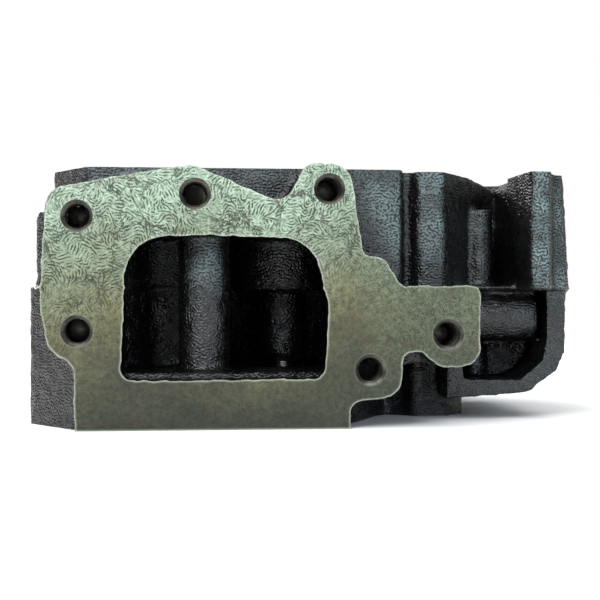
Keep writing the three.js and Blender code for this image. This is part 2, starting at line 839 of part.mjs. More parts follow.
function valveGuide(bottom) {
  const bore = STEM_RADIUS + FIT_GAP;
  return turned(
    [
      [bore, bottom],
      [GUIDE_RADIUS - 1, bottom],
      [GUIDE_RADIUS, bottom + 3],
      [GUIDE_RADIUS, GUIDE_TOP - 1],
      [GUIDE_RADIUS - 1, GUIDE_TOP],
      [bore, GUIDE_TOP],
    ],
    28,
  );
}

function stemSeal() {
  const bottom = GUIDE_TOP - 4;
  const lip = GUIDE_TOP + 1;
  return turned(
    [
      [GUIDE_RADIUS + FIT_GAP, bottom],
      [SEAL_RADIUS, bottom],
      [SEAL_RADIUS, lip],
      [SEAL_RADIUS - 1.5, bottom + SEAL_HEIGHT],
      [STEM_RADIUS + FIT_GAP, bottom + SEAL_HEIGHT],
      [STEM_RADIUS + FIT_GAP, lip],
      [GUIDE_RADIUS + FIT_GAP, lip],
    ],
    28,
  );
}

const SPRING_SEAT_BOTTOM = SPRING_POCKET_FLOOR + FIT_GAP;
const SPRING_SEAT_TOP = SPRING_SEAT_BOTTOM + SPRING_SEAT_THICKNESS;
const SPRING_BOTTOM = SPRING_SEAT_TOP + FIT_GAP;
const SPRING_TOP = RETAINER_BOTTOM - FIT_GAP;

function springSeat() {
  return turned(
    [
      [SEAL_RADIUS + FIT_GAP, SPRING_SEAT_BOTTOM],
      [SPRING_POCKET_RADIUS - 0.5, SPRING_SEAT_BOTTOM],
      [SPRING_POCKET_RADIUS - 0.5, SPRING_SEAT_TOP],
      [SEAL_RADIUS + FIT_GAP, SPRING_SEAT_TOP],
    ],
    32,
  );
}

// A compression spring whose end turns close up flat.
class SpringLine extends THREE.Curve {
  constructor(radius, wireRadius, turns, handed) {
    super();
    Object.assign(this, { radius, wireRadius, turns, handed });
  }
  getPoint(t, target = new THREE.Vector3()) {
    const angle = this.handed * t * this.turns * 2 * Math.PI;
    const flat = 1 / this.turns;
    const closed = 2 * this.wireRadius + 0.15;
    const low = SPRING_BOTTOM + this.wireRadius;
    const high = SPRING_TOP - this.wireRadius;
    const free = high - low - 2 * closed;
    const rise = (u) => u * u * (3 - 2 * u);
    let z = low + closed + (free * (t - flat)) / (1 - 2 * flat);
    if (t < flat) z = low + closed * rise(t / flat);
    if (t > 1 - flat) z = high - closed * rise((1 - t) / flat);
    return target.set(this.radius * Math.cos(angle), this.radius * Math.sin(angle), z);
  }
}

function spring(radius, wireRadius, turns, handed) {
  const wire = new THREE.Shape();
  const sides = 8;
  for (let i = 0; i < sides; i++) {
    const a = (i * 2 * Math.PI) / sides;
    wire[i ? "lineTo" : "moveTo"](wireRadius * Math.cos(a), wireRadius * Math.sin(a));
  }
  const extrudePath = new SpringLine(radius, wireRadius, turns, handed);
  const steps = Math.round(turns * 14);
  return toSolid(new THREE.ExtrudeGeometry(wire, { steps, extrudePath, bevelEnabled: false }));
}

const RETAINER_TOP = RETAINER_BOTTOM + RETAINER_THICKNESS;
const HUB_BOTTOM = RETAINER_TOP - COLLET_LENGTH;

function springRetainer() {
  const hub = INNER_SPRING_RADIUS - INNER_WIRE_RADIUS - FIT_GAP;
  return turned(
    [
      [CONE_SMALL_RADIUS, HUB_BOTTOM],
      [hub, HUB_BOTTOM],
      [hub, RETAINER_BOTTOM],
      [RETAINER_RADIUS, RETAINER_BOTTOM],
      [RETAINER_RADIUS, RETAINER_TOP - 1],
      [RETAINER_RADIUS - 1, RETAINER_TOP],
      [CONE_LARGE_RADIUS, RETAINER_TOP],
    ],
    36,
  );
}

// One half of the split cone that locks the retainer to the stem.
function collet(side) {
  const cone = turned(
    [
      [STEM_RADIUS + FIT_GAP, HUB_BOTTOM + 0.4],
      [CONE_SMALL_RADIUS - FIT_GAP, HUB_BOTTOM + 0.4],
      [CONE_LARGE_RADIUS - FIT_GAP, RETAINER_TOP + 0.4],
      [STEM_RADIUS + FIT_GAP, RETAINER_TOP + 0.4],
    ],
    28,
  );
  const far = RETAINER_RADIUS;
  const half = slab(
    [
      [-far, 0.4 * side],
      [far, 0.4 * side],
      [far, far * side],
      [-far, far * side],
    ],
    HUB_BOTTOM - 1,
    RETAINER_TOP + 2,
  );
  return cone.intersect(half);
}

function injectorSleeve() {
  const nose = NOZZLE_RADIUS + SLEEVE_WALL;
  const coneBottom = NOZZLE_SEAT + 6;
  const coneTop = coneBottom + SLEEVE_CONE;
  const inside = SLEEVE_RADIUS - SLEEVE_WALL;
  return turned(
    [
      [NOZZLE_RADIUS, NOZZLE_SEAT],
      [nose, NOZZLE_SEAT],
      [nose, coneBottom + 0.3],
      [SLEEVE_RADIUS, coneTop + 0.3],
      [SLEEVE_RADIUS, SLEEVE_TOP],
      [inside, SLEEVE_TOP],
      [inside, coneTop + 1.4],
      [NOZZLE_RADIUS, coneTop],
    ],
    32,
  );
}

// Pressed cup that closes a core hole, its rim flush with the wall.
function corePlug({ x, y, z, along, side }) {
  const cup = turned(
    [
      [0, 0],
      [PLUG_RADIUS - 1, 0],
      [PLUG_RADIUS, 1],
      [PLUG_RADIUS, PLUG_DEPTH],
      [PLUG_RADIUS - PLUG_SHEET, PLUG_DEPTH],
      [PLUG_RADIUS - PLUG_SHEET, PLUG_SHEET],
      [0, PLUG_SHEET],
    ],
    32,
  );
  const turn = along === "x" ? [0, 90 * side, 0] : [-90 * side, 0, 0];
  const inset = PLUG_DEPTH + 1;
  const place = along === "x" ? [x - side * inset, y, z] : [x, y - side * inset, z];
  return cup.rotate(turn).translate(place);
}

// Screw plug with a hexagon socket, flush with the left shoulder.
function galleryPlug() {
  const left = LEFT_SHOULDER + FIT_GAP;
  const right = LEFT_SHOULDER + GALLERY_PLUG_LENGTH - FIT_GAP;
  const body = barX(OIL_FEED.y, OIL_FEED.z, left, right, GALLERY_PLUG_RADIUS, 24);
  const socket = barX(OIL_FEED.y, OIL_FEED.z, left - 1, left + 5, GALLERY_PLUG_RADIUS * 0.6, 6);
  return body.subtract(socket);
}

// ---------------------------------------------------------------- assembly

const head = new THREE.Group();
head.name = "cylinder_head";
head.add(piece("head_casting", headCasting(), CAST_IRON));

for (const [name, size] of Object.entries(VALVES)) {
  const { x, y } = size;
  const metal = name === "intake" ? VALVE_STEEL : EXHAUST_STEEL;
  const guideBottom = name === "intake" ? GUIDE_BOSS_BOTTOM - 2.5 : GUIDE_BOSS_BOTTOM - 0.5;
  const add = (part, solid, material) => head.add(piece(`${name}_${part}`, solid, material, x, y));
  add("valve_seat", valveInsert(size), SEAT_IRON);
  add("valve_guide", valveGuide(guideBottom), GUIDE_BRONZE);
  add("valve", valve(size), metal);
  add("stem_seal", stemSeal(), SEAL_RUBBER);
  add("spring_seat", springSeat(), RETAINER_STEEL);
  add("outer_spring", spring(OUTER_SPRING_RADIUS, OUTER_WIRE_RADIUS, SPRING_TURNS, 1), SPRING_STEEL);
  add("inner_spring", spring(INNER_SPRING_RADIUS, INNER_WIRE_RADIUS, SPRING_TURNS + 1, -1), SPRING_STEEL);
  add("spring_retainer", springRetainer(), RETAINER_STEEL);
  add("collet_a", collet(1), COLLET_STEEL);
  add("collet_b", collet(-1), COLLET_STEEL);
}

head.add(piece("injector_sleeve", injectorSleeve(), COPPER, INJECTOR.x, INJECTOR.y));
for (const [name, plug] of Object.entries(CORE_PLUGS)) {
  head.add(piece(name, corePlug(plug), PLUG_ZINC));
}

head.add(piece("oil_gallery_plug", galleryPlug(), PLUG_STEEL));

export default head;
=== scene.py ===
# %% [markdown]
# # A cylinder head, cast and then machined
#
# A cylinder head is one grey-iron casting that closes the top of an engine's cylinder. Iron is poured
# round sand cores, which leave the rough black skin, and only the faces that meet other parts are milled.
# Into the drilled casting go valve seats, guides, valves, springs, a copper injector sleeve and a few
# plugs.
#
# The mechanical model is already packed, so this notebook starts from it as a fixed frame. Every size
# below is either read from that frame or named in millimetres.

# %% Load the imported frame
import json
import math

import bmesh
import bpy
import numpy as np
from mathutils import Matrix, Vector
from mathutils.bvhtree import BVHTree

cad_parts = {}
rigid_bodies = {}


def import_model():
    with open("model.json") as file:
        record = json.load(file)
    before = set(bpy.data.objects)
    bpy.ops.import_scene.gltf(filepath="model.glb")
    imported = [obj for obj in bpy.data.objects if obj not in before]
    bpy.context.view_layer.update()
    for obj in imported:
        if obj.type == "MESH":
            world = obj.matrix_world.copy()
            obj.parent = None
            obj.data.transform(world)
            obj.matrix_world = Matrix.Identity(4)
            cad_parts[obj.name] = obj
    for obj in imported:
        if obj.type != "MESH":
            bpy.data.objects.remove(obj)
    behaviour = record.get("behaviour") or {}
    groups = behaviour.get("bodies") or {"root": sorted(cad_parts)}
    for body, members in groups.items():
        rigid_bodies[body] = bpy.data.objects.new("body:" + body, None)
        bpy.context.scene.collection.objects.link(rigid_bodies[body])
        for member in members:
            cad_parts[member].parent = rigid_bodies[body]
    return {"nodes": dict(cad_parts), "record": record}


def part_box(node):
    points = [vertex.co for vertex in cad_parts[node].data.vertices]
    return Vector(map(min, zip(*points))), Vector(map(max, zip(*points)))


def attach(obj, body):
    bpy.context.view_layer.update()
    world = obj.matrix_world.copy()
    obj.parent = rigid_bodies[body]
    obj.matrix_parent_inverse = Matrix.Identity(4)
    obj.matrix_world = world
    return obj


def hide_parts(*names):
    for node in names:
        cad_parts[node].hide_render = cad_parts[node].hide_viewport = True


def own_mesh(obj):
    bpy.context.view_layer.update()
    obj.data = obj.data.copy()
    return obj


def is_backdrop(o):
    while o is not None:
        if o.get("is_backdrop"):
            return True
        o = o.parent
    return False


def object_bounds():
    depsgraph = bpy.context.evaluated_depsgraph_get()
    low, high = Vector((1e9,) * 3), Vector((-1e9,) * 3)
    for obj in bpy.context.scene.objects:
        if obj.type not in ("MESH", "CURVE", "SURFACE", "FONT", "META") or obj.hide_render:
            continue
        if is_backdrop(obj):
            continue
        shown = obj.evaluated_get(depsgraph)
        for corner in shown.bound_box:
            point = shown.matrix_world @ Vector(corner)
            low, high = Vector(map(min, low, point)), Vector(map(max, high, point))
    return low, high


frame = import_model()
cad_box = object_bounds()
MM = 0.001
NODES = frame["nodes"]

# %% [markdown]
# ## Small helpers
#
# Shader trees and geometry trees are both made of nodes with sockets, so one helper serves both: it adds
# a node, sets its settings, and either fills or links each input. Colours are picked as sRGB hex values,
# the way a paint chart gives them, and Blender wants them linear.


# %% Helpers for colours, nodes and objects
def linear(hex_colour):
    """The linear RGBA value of an sRGB colour such as "#a0b1c2"."""
    channels = [int(hex_colour[i : i + 2], 16) / 255 for i in (1, 3, 5)]
    bent = [c / 12.92 if c <= 0.04045 else ((c + 0.055) / 1.055) ** 2.4 for c in channels]
    return (*bent, 1.0)


def add(tree, kind, inputs=None, **settings):
    """Adds a node with its settings; an input is a value, a hex colour, a socket or a node."""
    node = tree.nodes.new(kind)
    for name, value in settings.items():
        setattr(node, name, value)
    for key, value in (inputs or {}).items():
        source = value.outputs[0] if isinstance(value, bpy.types.Node) else value
        if isinstance(source, bpy.types.NodeSocket):
            tree.links.new(source, node.inputs[key])
        else:
            node.inputs[key].default_value = linear(source) if isinstance(source, str) else source
    return node


def new_object(name, mesh):
    """A scene object that shows a mesh."""
    made = bpy.data.objects.new(name, mesh)
    bpy.context.scene.collection.objects.link(made)
    return made


def evaluated_mesh(thing):
    """The plain mesh that an object's modifiers give."""
    graph = bpy.context.evaluated_depsgraph_get()
    graph.update()
    return bpy.data.meshes.new_from_object(thing.evaluated_get(graph), depsgraph=graph)


def apply_modifiers(thing):
    """Swaps an object's mesh for the evaluated one and drops the modifiers."""
    mesh = evaluated_mesh(thing)
    thing.modifiers.clear()
    thing.data = mesh
    return mesh


def mesh_from(bm, name):
    """Turns a finished bmesh into a mesh and frees it."""
    mesh = bpy.data.meshes.new(name)
    bm.to_mesh(mesh)
    bm.free()
    return mesh


def shade(thing, sharp):
    """Smooth shading, but edges that turn by more than an angle in degrees stay sharp."""
    thing.data.shade_smooth()
    thing.data.set_sharp_from_angle(angle=math.radians(sharp))


def centre(node):
    low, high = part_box(node)
    return (low + high) / 2


# %% [markdown]
# ## Geometry Nodes for what follows a path
#
# A valve spring and a screw thread are the same idea: one section carried along a helix. A thread keeps
# one pitch. A spring closes up at both ends, so that it stands flat, and its end coils are ground. One
# tree does both, and named inputs hold the sizes.


# %% A coil that follows a helix
def new_tree(name, inputs):
    """An empty geometry tree with a Geometry output and the named inputs."""
    tree = bpy.data.node_groups.new(name, "GeometryNodeTree")
    kinds = {float: "NodeSocketFloat", int: "NodeSocketInt", bpy.types.Material: "NodeSocketMaterial"}
    tree.interface.new_socket("Geometry", in_out="OUTPUT", socket_type="NodeSocketGeometry")
    for label, kind in inputs.items():
        socket = "NodeSocketGeometry" if kind is None else kinds[kind]
        tree.interface.new_socket(label, in_out="INPUT", socket_type=socket)
    tree.is_modifier = True
    return tree, add(tree, "NodeGroupInput").outputs, add(tree, "NodeGroupOutput")


def use_tree(thing, tree, values):
    """Puts a geometry tree on an object as a modifier, its inputs set by their identifiers."""
    modifier = thing.modifiers.new(tree.name, "NODES")
    modifier.node_group = tree
    for item in tree.interface.items_tree:
        if item.in_out == "INPUT" and item.name in values:
            modifier[item.identifier] = values[item.name]
    return modifier


MATH = "ShaderNodeMath"
MAP = "ShaderNodeMapRange"
JOIN_XYZ = "ShaderNodeCombineXYZ"
SPLIT_XYZ = "ShaderNodeSeparateXYZ"
NOISE = "ShaderNodeTexNoise"


def build_coil_tree():
    names = {"Radius": float, "Wire": float, "Turns": float, "Bottom": float, "Top": float}
    names.update({"Closed": float, "Ground": float, "Sides": int, "Steps": int})
    names["Finish"] = bpy.types.Material
    tree, given, result = new_tree("coil", names)

    # how far along the wire each point is, and the share of it that one end turn takes
    line = add(tree, "GeometryNodeMeshLine", {"Count": given["Steps"]})
    last = add(tree, MATH, {0: given["Steps"], 1: 1.0}, operation="SUBTRACT")
    point = add(tree, "GeometryNodeInputIndex")
    along = add(tree, MATH, {0: point, 1: last}, operation="DIVIDE")
    turns = add(tree, MATH, {0: given["Turns"]}, operation="ABSOLUTE")
    end_turn = add(tree, MATH, {0: 1.0, 1: turns}, operation="DIVIDE")
    far_turn = add(tree, MATH, {0: 1.0, 1: end_turn}, operation="SUBTRACT")

    # the height between the two closed ends, measured between wire middles
    low = add(tree, MATH, {0: given["Bottom"], 1: given["Wire"]}, operation="ADD")
    high = add(tree, MATH, {0: given["Top"], 1: given["Wire"]}, operation="SUBTRACT")
    reach = add(tree, MATH, {0: high, 1: low}, operation="SUBTRACT")
    free = add(tree, MATH, {0: given["Closed"], 1: -2.0, 2: reach}, operation="MULTIPLY_ADD")
    stretches = [
        (0.0, end_turn, given["Closed"], "SMOOTHSTEP"),
        (end_turn, far_turn, free, "LINEAR"),
        (far_turn, 1.0, given["Closed"], "SMOOTHSTEP"),
    ]
    height = low
    for start, stop, gain, shape in stretches:
        sockets = {"Value": along, "From Min": start, "From Max": stop, "To Min": 0.0, "To Max": gain}
        rise = add(tree, MAP, sockets, interpolation_type=shape)
        height = add(tree, MATH, {0: height, 1: rise}, operation="ADD")

    full = add(tree, MATH, {0: given["Turns"], 1: math.tau}, operation="MULTIPLY")
    angle = add(tree, MATH, {0: along, 1: full}, operation="MULTIPLY")
    sides = {"Z": height}
    for axis, wave in (("X", "COSINE"), ("Y", "SINE")):
        share = add(tree, MATH, {0: angle}, operation=wave)
        sides[axis] = add(tree, MATH, {0: share, 1: given["Radius"]}, operation="MULTIPLY")
    helix = add(tree, "GeometryNodeSetPosition", {"Geometry": line, "Position": add(tree, JOIN_XYZ, sides)})

    path = add(tree, "GeometryNodeMeshToCurve", {"Mesh": helix})
    path = add(tree, "GeometryNodeSetCurveNormal", {"Curve": path}, mode="Z_UP")
    section = {"Resolution": given["Sides"], "Radius": given["Wire"]}
    wire = add(tree, "GeometryNodeCurvePrimitiveCircle", section)
    swept = {"Curve": path, "Profile Curve": wire.outputs["Curve"], "Fill Caps": True}
    body = add(tree, "GeometryNodeCurveToMesh", swept)

    # the grinding wheel: nothing stands past the two end planes
    spot = add(tree, SPLIT_XYZ, {"Vector": add(tree, "GeometryNodeInputPosition")})
    floor = add(tree, MATH, {0: given["Bottom"], 1: given["Ground"]}, operation="ADD")
    roof = add(tree, MATH, {0: given["Top"], 1: given["Ground"]}, operation="SUBTRACT")
    above = add(tree, MATH, {0: spot.outputs["Z"], 1: floor}, operation="MAXIMUM")
    held = add(tree, MATH, {0: above, 1: roof}, operation="MINIMUM")
    flat = add(tree, JOIN_XYZ, {"X": spot.outputs["X"], "Y": spot.outputs["Y"], "Z": held})
    ground = add(tree, "GeometryNodeSetPosition", {"Geometry": body, "Position": flat})
    real = add(tree, "GeometryNodeRealizeInstances", {"Geometry": ground})
    done = add(tree, "GeometryNodeSetMaterial", {"Geometry": real, "Material": given["Finish"]})
    tree.links.new(done.outputs[0], result.inputs["Geometry"])
    return tree


coil_tree = build_coil_tree()
print("coil tree has", len(coil_tree.nodes), "nodes")

# %% [markdown]
# ## Finishes
#
# Every finish starts from what the metal is and how its surface was made. Patterns read the piece's own
# coordinates, turned into millimetres, so a cell of 2.3 mm is written as 2.3. Even values are set on the
# shader's own sockets, and only what varies over the surface is linked.

# %% A new finish
MIX = "ShaderNodeMix"  # of colours: socket 0 is the share, 6 lies below and 7 above, output 2
BUMP = "ShaderNodeBump"
GABOR = "ShaderNodeTexGabor"
VORONOI = "ShaderNodeTexVoronoi"
VECTOR = "ShaderNodeVectorMath"
AMBIENT_OCCLUSION = "ShaderNodeAmbientOcclusion"
COLOURS = {"data_type": "RGBA"}
BAND_SCALE = 0.314  # the wave texture's scale for one band per millimetre
OBJECT_TO_MM = 1000.0


def finish(name, hex_colour, roughness, metallic=0.0, **even):
    """A material with even values, its tree, its shader and its coordinates in millimetres."""
    material = bpy.data.materials.new(name)
    material.use_nodes = True
    tree = material.node_tree
    shader = tree.nodes["Principled BSDF"]
    values = {"Base Color": linear(hex_colour), "Roughness": roughness, "Metallic": metallic}
    values.update({socket.replace("_", " "): value for socket, value in even.items()})
    for socket, value in values.items():
        shader.inputs[socket].default_value = value
    own = add(tree, "ShaderNodeTexCoord").outputs["Object"]
    place = add(tree, VECTOR, {0: own, "Scale": OBJECT_TO_MM}, operation="SCALE")
    return material, tree, shader, place.outputs[0]


print("finishes read object coordinates times", OBJECT_TO_MM)

# %% [markdown]
# ### Sand-cast grey iron
#
# The skin is a heat-blackened oxide with the mould's grain, still wet with preserving oil. On the outer walls
# that face the front or the back, the tops of the grain take a blue-grey that is partly dried dust and partly
# a painted reflection of the lamps in the oily skin. Pits, corners and cored spaces are kept black and shiny
# by painted shade from an ambient-occlusion node, which tells open walls from corners. Rust starts where
# water can stand, and the surface's own normal tells what faces up.

# %% Cast skin
SAND_GRAIN = 2.3  # cell of the grain texture, which holds two grains, mm
GRAINS_PER_CELL = 2.0
GRAIN_RELIEF = 0.6  # mm
SHADE_REACH = 42.0  # how far away a wall still darkens a surface with painted shade, mm
OIL_LINE = 50.0  # height below which the walls are still wet with oil, mm
RUST_LINE = 66.0  # height above which water has stood on the ledges, mm


def sand_cast_iron():
    made = finish("sand_cast_grey_iron_oiled", "#101010", 0.4, Specular_IOR_Level=0.5)
    material, tree, shader, place = made
    worms = {"Vector": place, "Scale": 1 / SAND_GRAIN, "Frequency": GRAINS_PER_CELL, "Anisotropy": 0.0}
    grain = add(tree, GABOR, worms, gabor_type="3D").outputs["Value"]
    fine = add(tree, NOISE, {"Vector": place, "Scale": 1 / 0.7, "Detail": 2.0, "Roughness": 0.6})
    mixed = add(tree, MATH, {0: fine, 1: 0.45, 2: grain}, operation="MULTIPLY_ADD")
    grain = add(tree, MATH, {0: mixed, 1: 0.225}, operation="SUBTRACT")
    patches = add(tree, NOISE, {"Vector": place, "Scale": 1 / 17, "Detail": 4.0, "Roughness": 0.6})
    specks = add(tree, NOISE, {"Vector": place, "Scale": 1 / 1.3, "Detail": 3.0, "Roughness": 0.7})
    facing_way = add(tree, SPLIT_XYZ, {"Vector": add(tree, "ShaderNodeNewGeometry").outputs["Normal"]})
    level = add(tree, SPLIT_XYZ, {"Vector": place}).outputs["Z"]
    occlusion_shade = add(tree, AMBIENT_OCCLUSION, {"Distance": SHADE_REACH * MM}, samples=6, only_local=True)

    # dust and painted reflection: open walls that look to the front or the back, above the line that the oil
    # has run down to; the facing term paints the lamps' reflection in the oily skin
    ragged = add(tree, MATH, {0: patches, 1: 14.0, 2: level}, operation="MULTIPLY_ADD")
    above = {"Value": ragged, "From Min": OIL_LINE, "From Max": OIL_LINE + 10.0, "To Min": 0.12}
    drained = add(tree, MAP, above)
    lamp_reflection_facing = add(tree, MATH, {0: facing_way.outputs["Y"]}, operation="ABSOLUTE")
    lamp_reflection_facing = add(tree, MAP, {"Value": lamp_reflection_facing, "From Min": 0.55, "From Max": 0.95, "To Min": 0.05})
    # painted shade: the ambient-occlusion value keeps hollows, corners and cored spaces black, and also keeps
    # brown specks and rust to open places
    open_and_unshaded = add(tree, MAP, {"Value": occlusion_shade.outputs["AO"], "From Min": 0.5, "From Max": 0.88})
    even = add(tree, MAP, {"Value": patches, "From Min": 0.34, "From Max": 0.56, "To Min": 0.5})
    dust_and_reflection = add(tree, MATH, {0: lamp_reflection_facing, 1: open_and_unshaded}, operation="MULTIPLY")
    dust_and_reflection = add(tree, MATH, {0: dust_and_reflection, 1: even}, operation="MULTIPLY")
    dust_and_reflection = add(tree, MATH, {0: dust_and_reflection, 1: drained}, operation="MULTIPLY", use_clamp=True)

    # the tops of the grain take the dust and the painted reflection, the pits keep the oil
    tops = add(tree, MAP, {"Value": grain, "From Min": 0.44, "From Max": 0.54})
    grain_dust_and_reflection = add(tree, MATH, {0: dust_and_reflection, 1: tops}, operation="MULTIPLY")
    pale = add(tree, MAP, {"Value": patches, "From Min": 0.4, "From Max": 0.62})
    blue = add(tree, MIX, {0: pale, 6: "#425453", 7: "#667a7a"}, **COLOURS).outputs[2]
    colour = add(tree, MIX, {0: grain_dust_and_reflection, 6: "#080808", 7: blue}, **COLOURS).outputs[2]

    # brown specks on the oily parts, rust on what faces up in the open
    oily = add(tree, MATH, {0: 0.8, 1: dust_and_reflection}, operation="SUBTRACT", use_clamp=True)
    brown = add(tree, MAP, {"Value": specks, "From Min": 0.6, "From Max": 0.72})
    brown = add(tree, MATH, {0: brown, 1: oily}, operation="MULTIPLY")
    brown = add(tree, MATH, {0: brown, 1: open_and_unshaded}, operation="MULTIPLY")
    colour = add(tree, MIX, {0: brown, 6: colour, 7: "#3f2f20"}, **COLOURS).outputs[2]
    upward = add(tree, MAP, {"Value": facing_way.outputs["Z"], "From Min": 0.3, "From Max": 0.75})
    wet = add(tree, MAP, {"Value": patches, "From Min": 0.46, "From Max": 0.62, "To Max": 0.85})
    high = add(tree, MAP, {"Value": level, "From Min": RUST_LINE, "From Max": RUST_LINE + 6.0})
    rust = add(tree, MATH, {0: upward, 1: wet}, operation="MULTIPLY")
    rust = add(tree, MATH, {0: rust, 1: high}, operation="MULTIPLY")
    rust = add(tree, MATH, {0: rust, 1: open_and_unshaded}, operation="MULTIPLY", use_clamp=True)
    rusty = add(tree, MIX, {0: specks, 6: "#3d2412", 7: "#8f5a2a"}, **COLOURS).outputs[2]
    colour = add(tree, MIX, {0: rust, 6: colour, 7: rusty}, **COLOURS).outputs[2]
    tree.links.new(colour, shader.inputs["Base Color"])

    shine = {"Value": patches, "From Min": 0.35, "From Max": 0.65, "To Min": 0.2, "To Max": 0.34}
    gloss = add(tree, MAP, shine)
    dull = add(tree, MATH, {0: grain_dust_and_reflection, 1: 0.25, 2: gloss}, operation="MULTIPLY_ADD", use_clamp=True)
    tree.links.new(dull.outputs[0], shader.inputs["Roughness"])
    bump = add(tree, BUMP, {"Height": grain, "Distance": GRAIN_RELIEF * MM})
    tree.links.new(bump.outputs[0], shader.inputs["Normal"])
    return material


# %% [markdown]
# ### The milled flange under old film
#
# The gasket face was milled flat and then coated with a pale preserving lacquer. The lacquer dried in
# wrinkles, like the skin on paint. They are short dark strokes that run side by side and turn from patch
# to patch, which is what a Gabor texture draws when its direction follows a slow noise. Long cracks run
# between the sheets of film, along the edges of bent Voronoi cells. Towards the bottom the film has gone
# and the colour falls to a dark olive, partly bare iron and partly painted shade for light that falls from
# above, and towards the right it is dark and finely pitted. The edge of the face is pale, partly worn metal
# and partly a painted highlight. Scratches and brush marks are left out.

# %% Flange film
STROKE_CELL = 3.0  # length of a wrinkle, mm
STROKES_PER_CELL = 2.7
CRACK_CELL = 15.0  # size of a sheet of film, mm
CRACK_BEND = (11.0, 11.0, 11.0)  # how far a crack strays from its straight cell edge, mm
WORN_AND_HIGHLIT_EDGE = 0.9  # width of the pale edge, partly worn metal and partly a painted highlight, mm


def lacquered_flange():
    made = finish("milled_iron_with_dried_lacquer", "#8a9486", 0.5, Specular_IOR_Level=0.3)
    material, tree, shader, place = made
    spot = add(tree, SPLIT_XYZ, {"Vector": place})
    flat = add(tree, JOIN_XYZ, {"X": spot.outputs["X"], "Y": spot.outputs["Z"]}).outputs[0]
    drift = add(tree, NOISE, {"Vector": place, "Scale": 1 / 26, "Detail": 3.0, "Roughness": 0.55})
    mottle = add(tree, NOISE, {"Vector": place, "Scale": 1 / 1.5, "Detail": 5.0, "Roughness": 0.75})
    wander = add(tree, MATH, {0: drift, 1: 0.5}, operation="SUBTRACT")

    # colour by place: pale green above, olive-tan in the middle, dark olive below, darker to the right; the
    # fall from top to bottom is partly the film thinning and partly painted shade, as the light falls from
    # above
    level = add(tree, MATH, {0: wander, 1: 55.0, 2: spot.outputs["Z"]}, operation="MULTIPLY_ADD")
    height = add(tree, MAP, {"Value": level, "From Min": 2.0, "From Max": 86.0})
    ramp = add(tree, "ShaderNodeValToRGB", {"Fac": height})
    stops = [(0.0, "#2c2e22"), (0.22, "#3f402f"), (0.45, "#605f43"), (0.62, "#70785f"), (1.0, "#94a792")]
    while len(ramp.color_ramp.elements) < len(stops):
        ramp.color_ramp.elements.new(0.5)
    for element, (position, tint) in zip(ramp.color_ramp.elements, stops):
        element.position = position
        element.color = linear(tint)
    across = add(tree, MATH, {0: wander, 1: 50.0, 2: spot.outputs["X"]}, operation="MULTIPLY_ADD")
    right = add(tree, MAP, {"Value": across, "From Min": 26.0, "From Max": 58.0})
    greener = add(tree, MIX, {0: height, 6: "#2f3226", 7: "#66745e"}, **COLOURS).outputs[2]
    shaded = add(tree, MATH, {0: right, 1: 0.75}, operation="MULTIPLY")
    colour = add(tree, MIX, {0: shaded, 6: ramp.outputs["Color"], 7: greener}, **COLOURS).outputs[2]
    clouds = {"Value": mottle, "From Min": 0.3, "From Max": 0.7, "To Min": 0.42, "To Max": 1.6}
    cloudy = add(tree, MAP, clouds)
    cloudy = add(tree, JOIN_XYZ, {"X": cloudy, "Y": cloudy, "Z": cloudy}).outputs[0]
    colour = add(tree, MIX, {0: 1.0, 6: colour, 7: cloudy}, **COLOURS, blend_type="MULTIPLY").outputs[2]

    # where the film is: most of it above, fading down and slightly to the right, and thinner in patches
    film = add(tree, MATH, {0: spot.outputs["X"], 1: -0.12, 2: level}, operation="MULTIPLY_ADD")
    film = add(tree, MAP, {"Value": film, "From Min": 30.0, "From Max": 60.0, "To Min": 0.3})
    patchy = add(tree, NOISE, {"Vector": place, "Scale": 1 / 9, "Detail": 2.0})
    patchy = add(tree, MAP, {"Value": patchy, "From Min": 0.32, "From Max": 0.5, "To Min": 0.45})
    film = add(tree, MATH, {0: film, 1: patchy}, operation="MULTIPLY")

    # wrinkles: strokes whose direction turns with a slow noise
    turning = add(tree, NOISE, {"Vector": place, "Scale": 1 / 13, "Detail": 2.0, "Distortion": 0.4})
    turning = add(tree, MATH, {0: turning, 1: 14.0}, operation="MULTIPLY")
    cells = {"Vector": flat, "Scale": 1 / STROKE_CELL, "Frequency": STROKES_PER_CELL, "Anisotropy": 0.82}
    cells["Orientation 2D"] = turning
    waves = add(tree, GABOR, cells, gabor_type="2D").outputs["Value"]
    waves = add(tree, MATH, {0: mottle, 1: 0.35, 2: waves}, operation="MULTIPLY_ADD")
    cut = {"Value": waves, "From Min": 0.54, "From Max": 0.68, "To Min": 1.0, "To Max": 0.0}
    strokes = add(tree, MAP, cut)
    strokes = add(tree, MATH, {0: strokes, 1: film}, operation="MULTIPLY")

    # long cracks between the sheets of film
    bend = add(tree, NOISE, {"Vector": place, "Scale": 1 / 6, "Detail": 4.0, "Roughness": 0.65})
    bent = add(tree, VECTOR, {0: bend.outputs["Color"], 1: CRACK_BEND, 2: place}, operation="MULTIPLY_ADD")
    sheets = add(tree, VORONOI, {"Vector": bent, "Scale": 1 / CRACK_CELL}, feature="DISTANCE_TO_EDGE")
    thin = {"Value": sheets, "From Min": 0.006, "From Max": 0.026, "To Min": 1.0, "To Max": 0.0}
    cracks = add(tree, MAP, thin)
    cracks = add(tree, MATH, {0: cracks, 1: film}, operation="MULTIPLY")

    # pits in the bare iron
    pores = add(tree, NOISE, {"Vector": place, "Scale": 1 / 0.75, "Detail": 2.0, "Distortion": 0.8})
    pits = add(tree, MAP, {"Value": pores, "From Min": 0.52, "From Max": 0.64})
    bare = add(tree, MAP, {"Value": right, "To Min": 0.4, "To Max": 0.85})
    pits = add(tree, MATH, {0: pits, 1: bare}, operation="MULTIPLY")

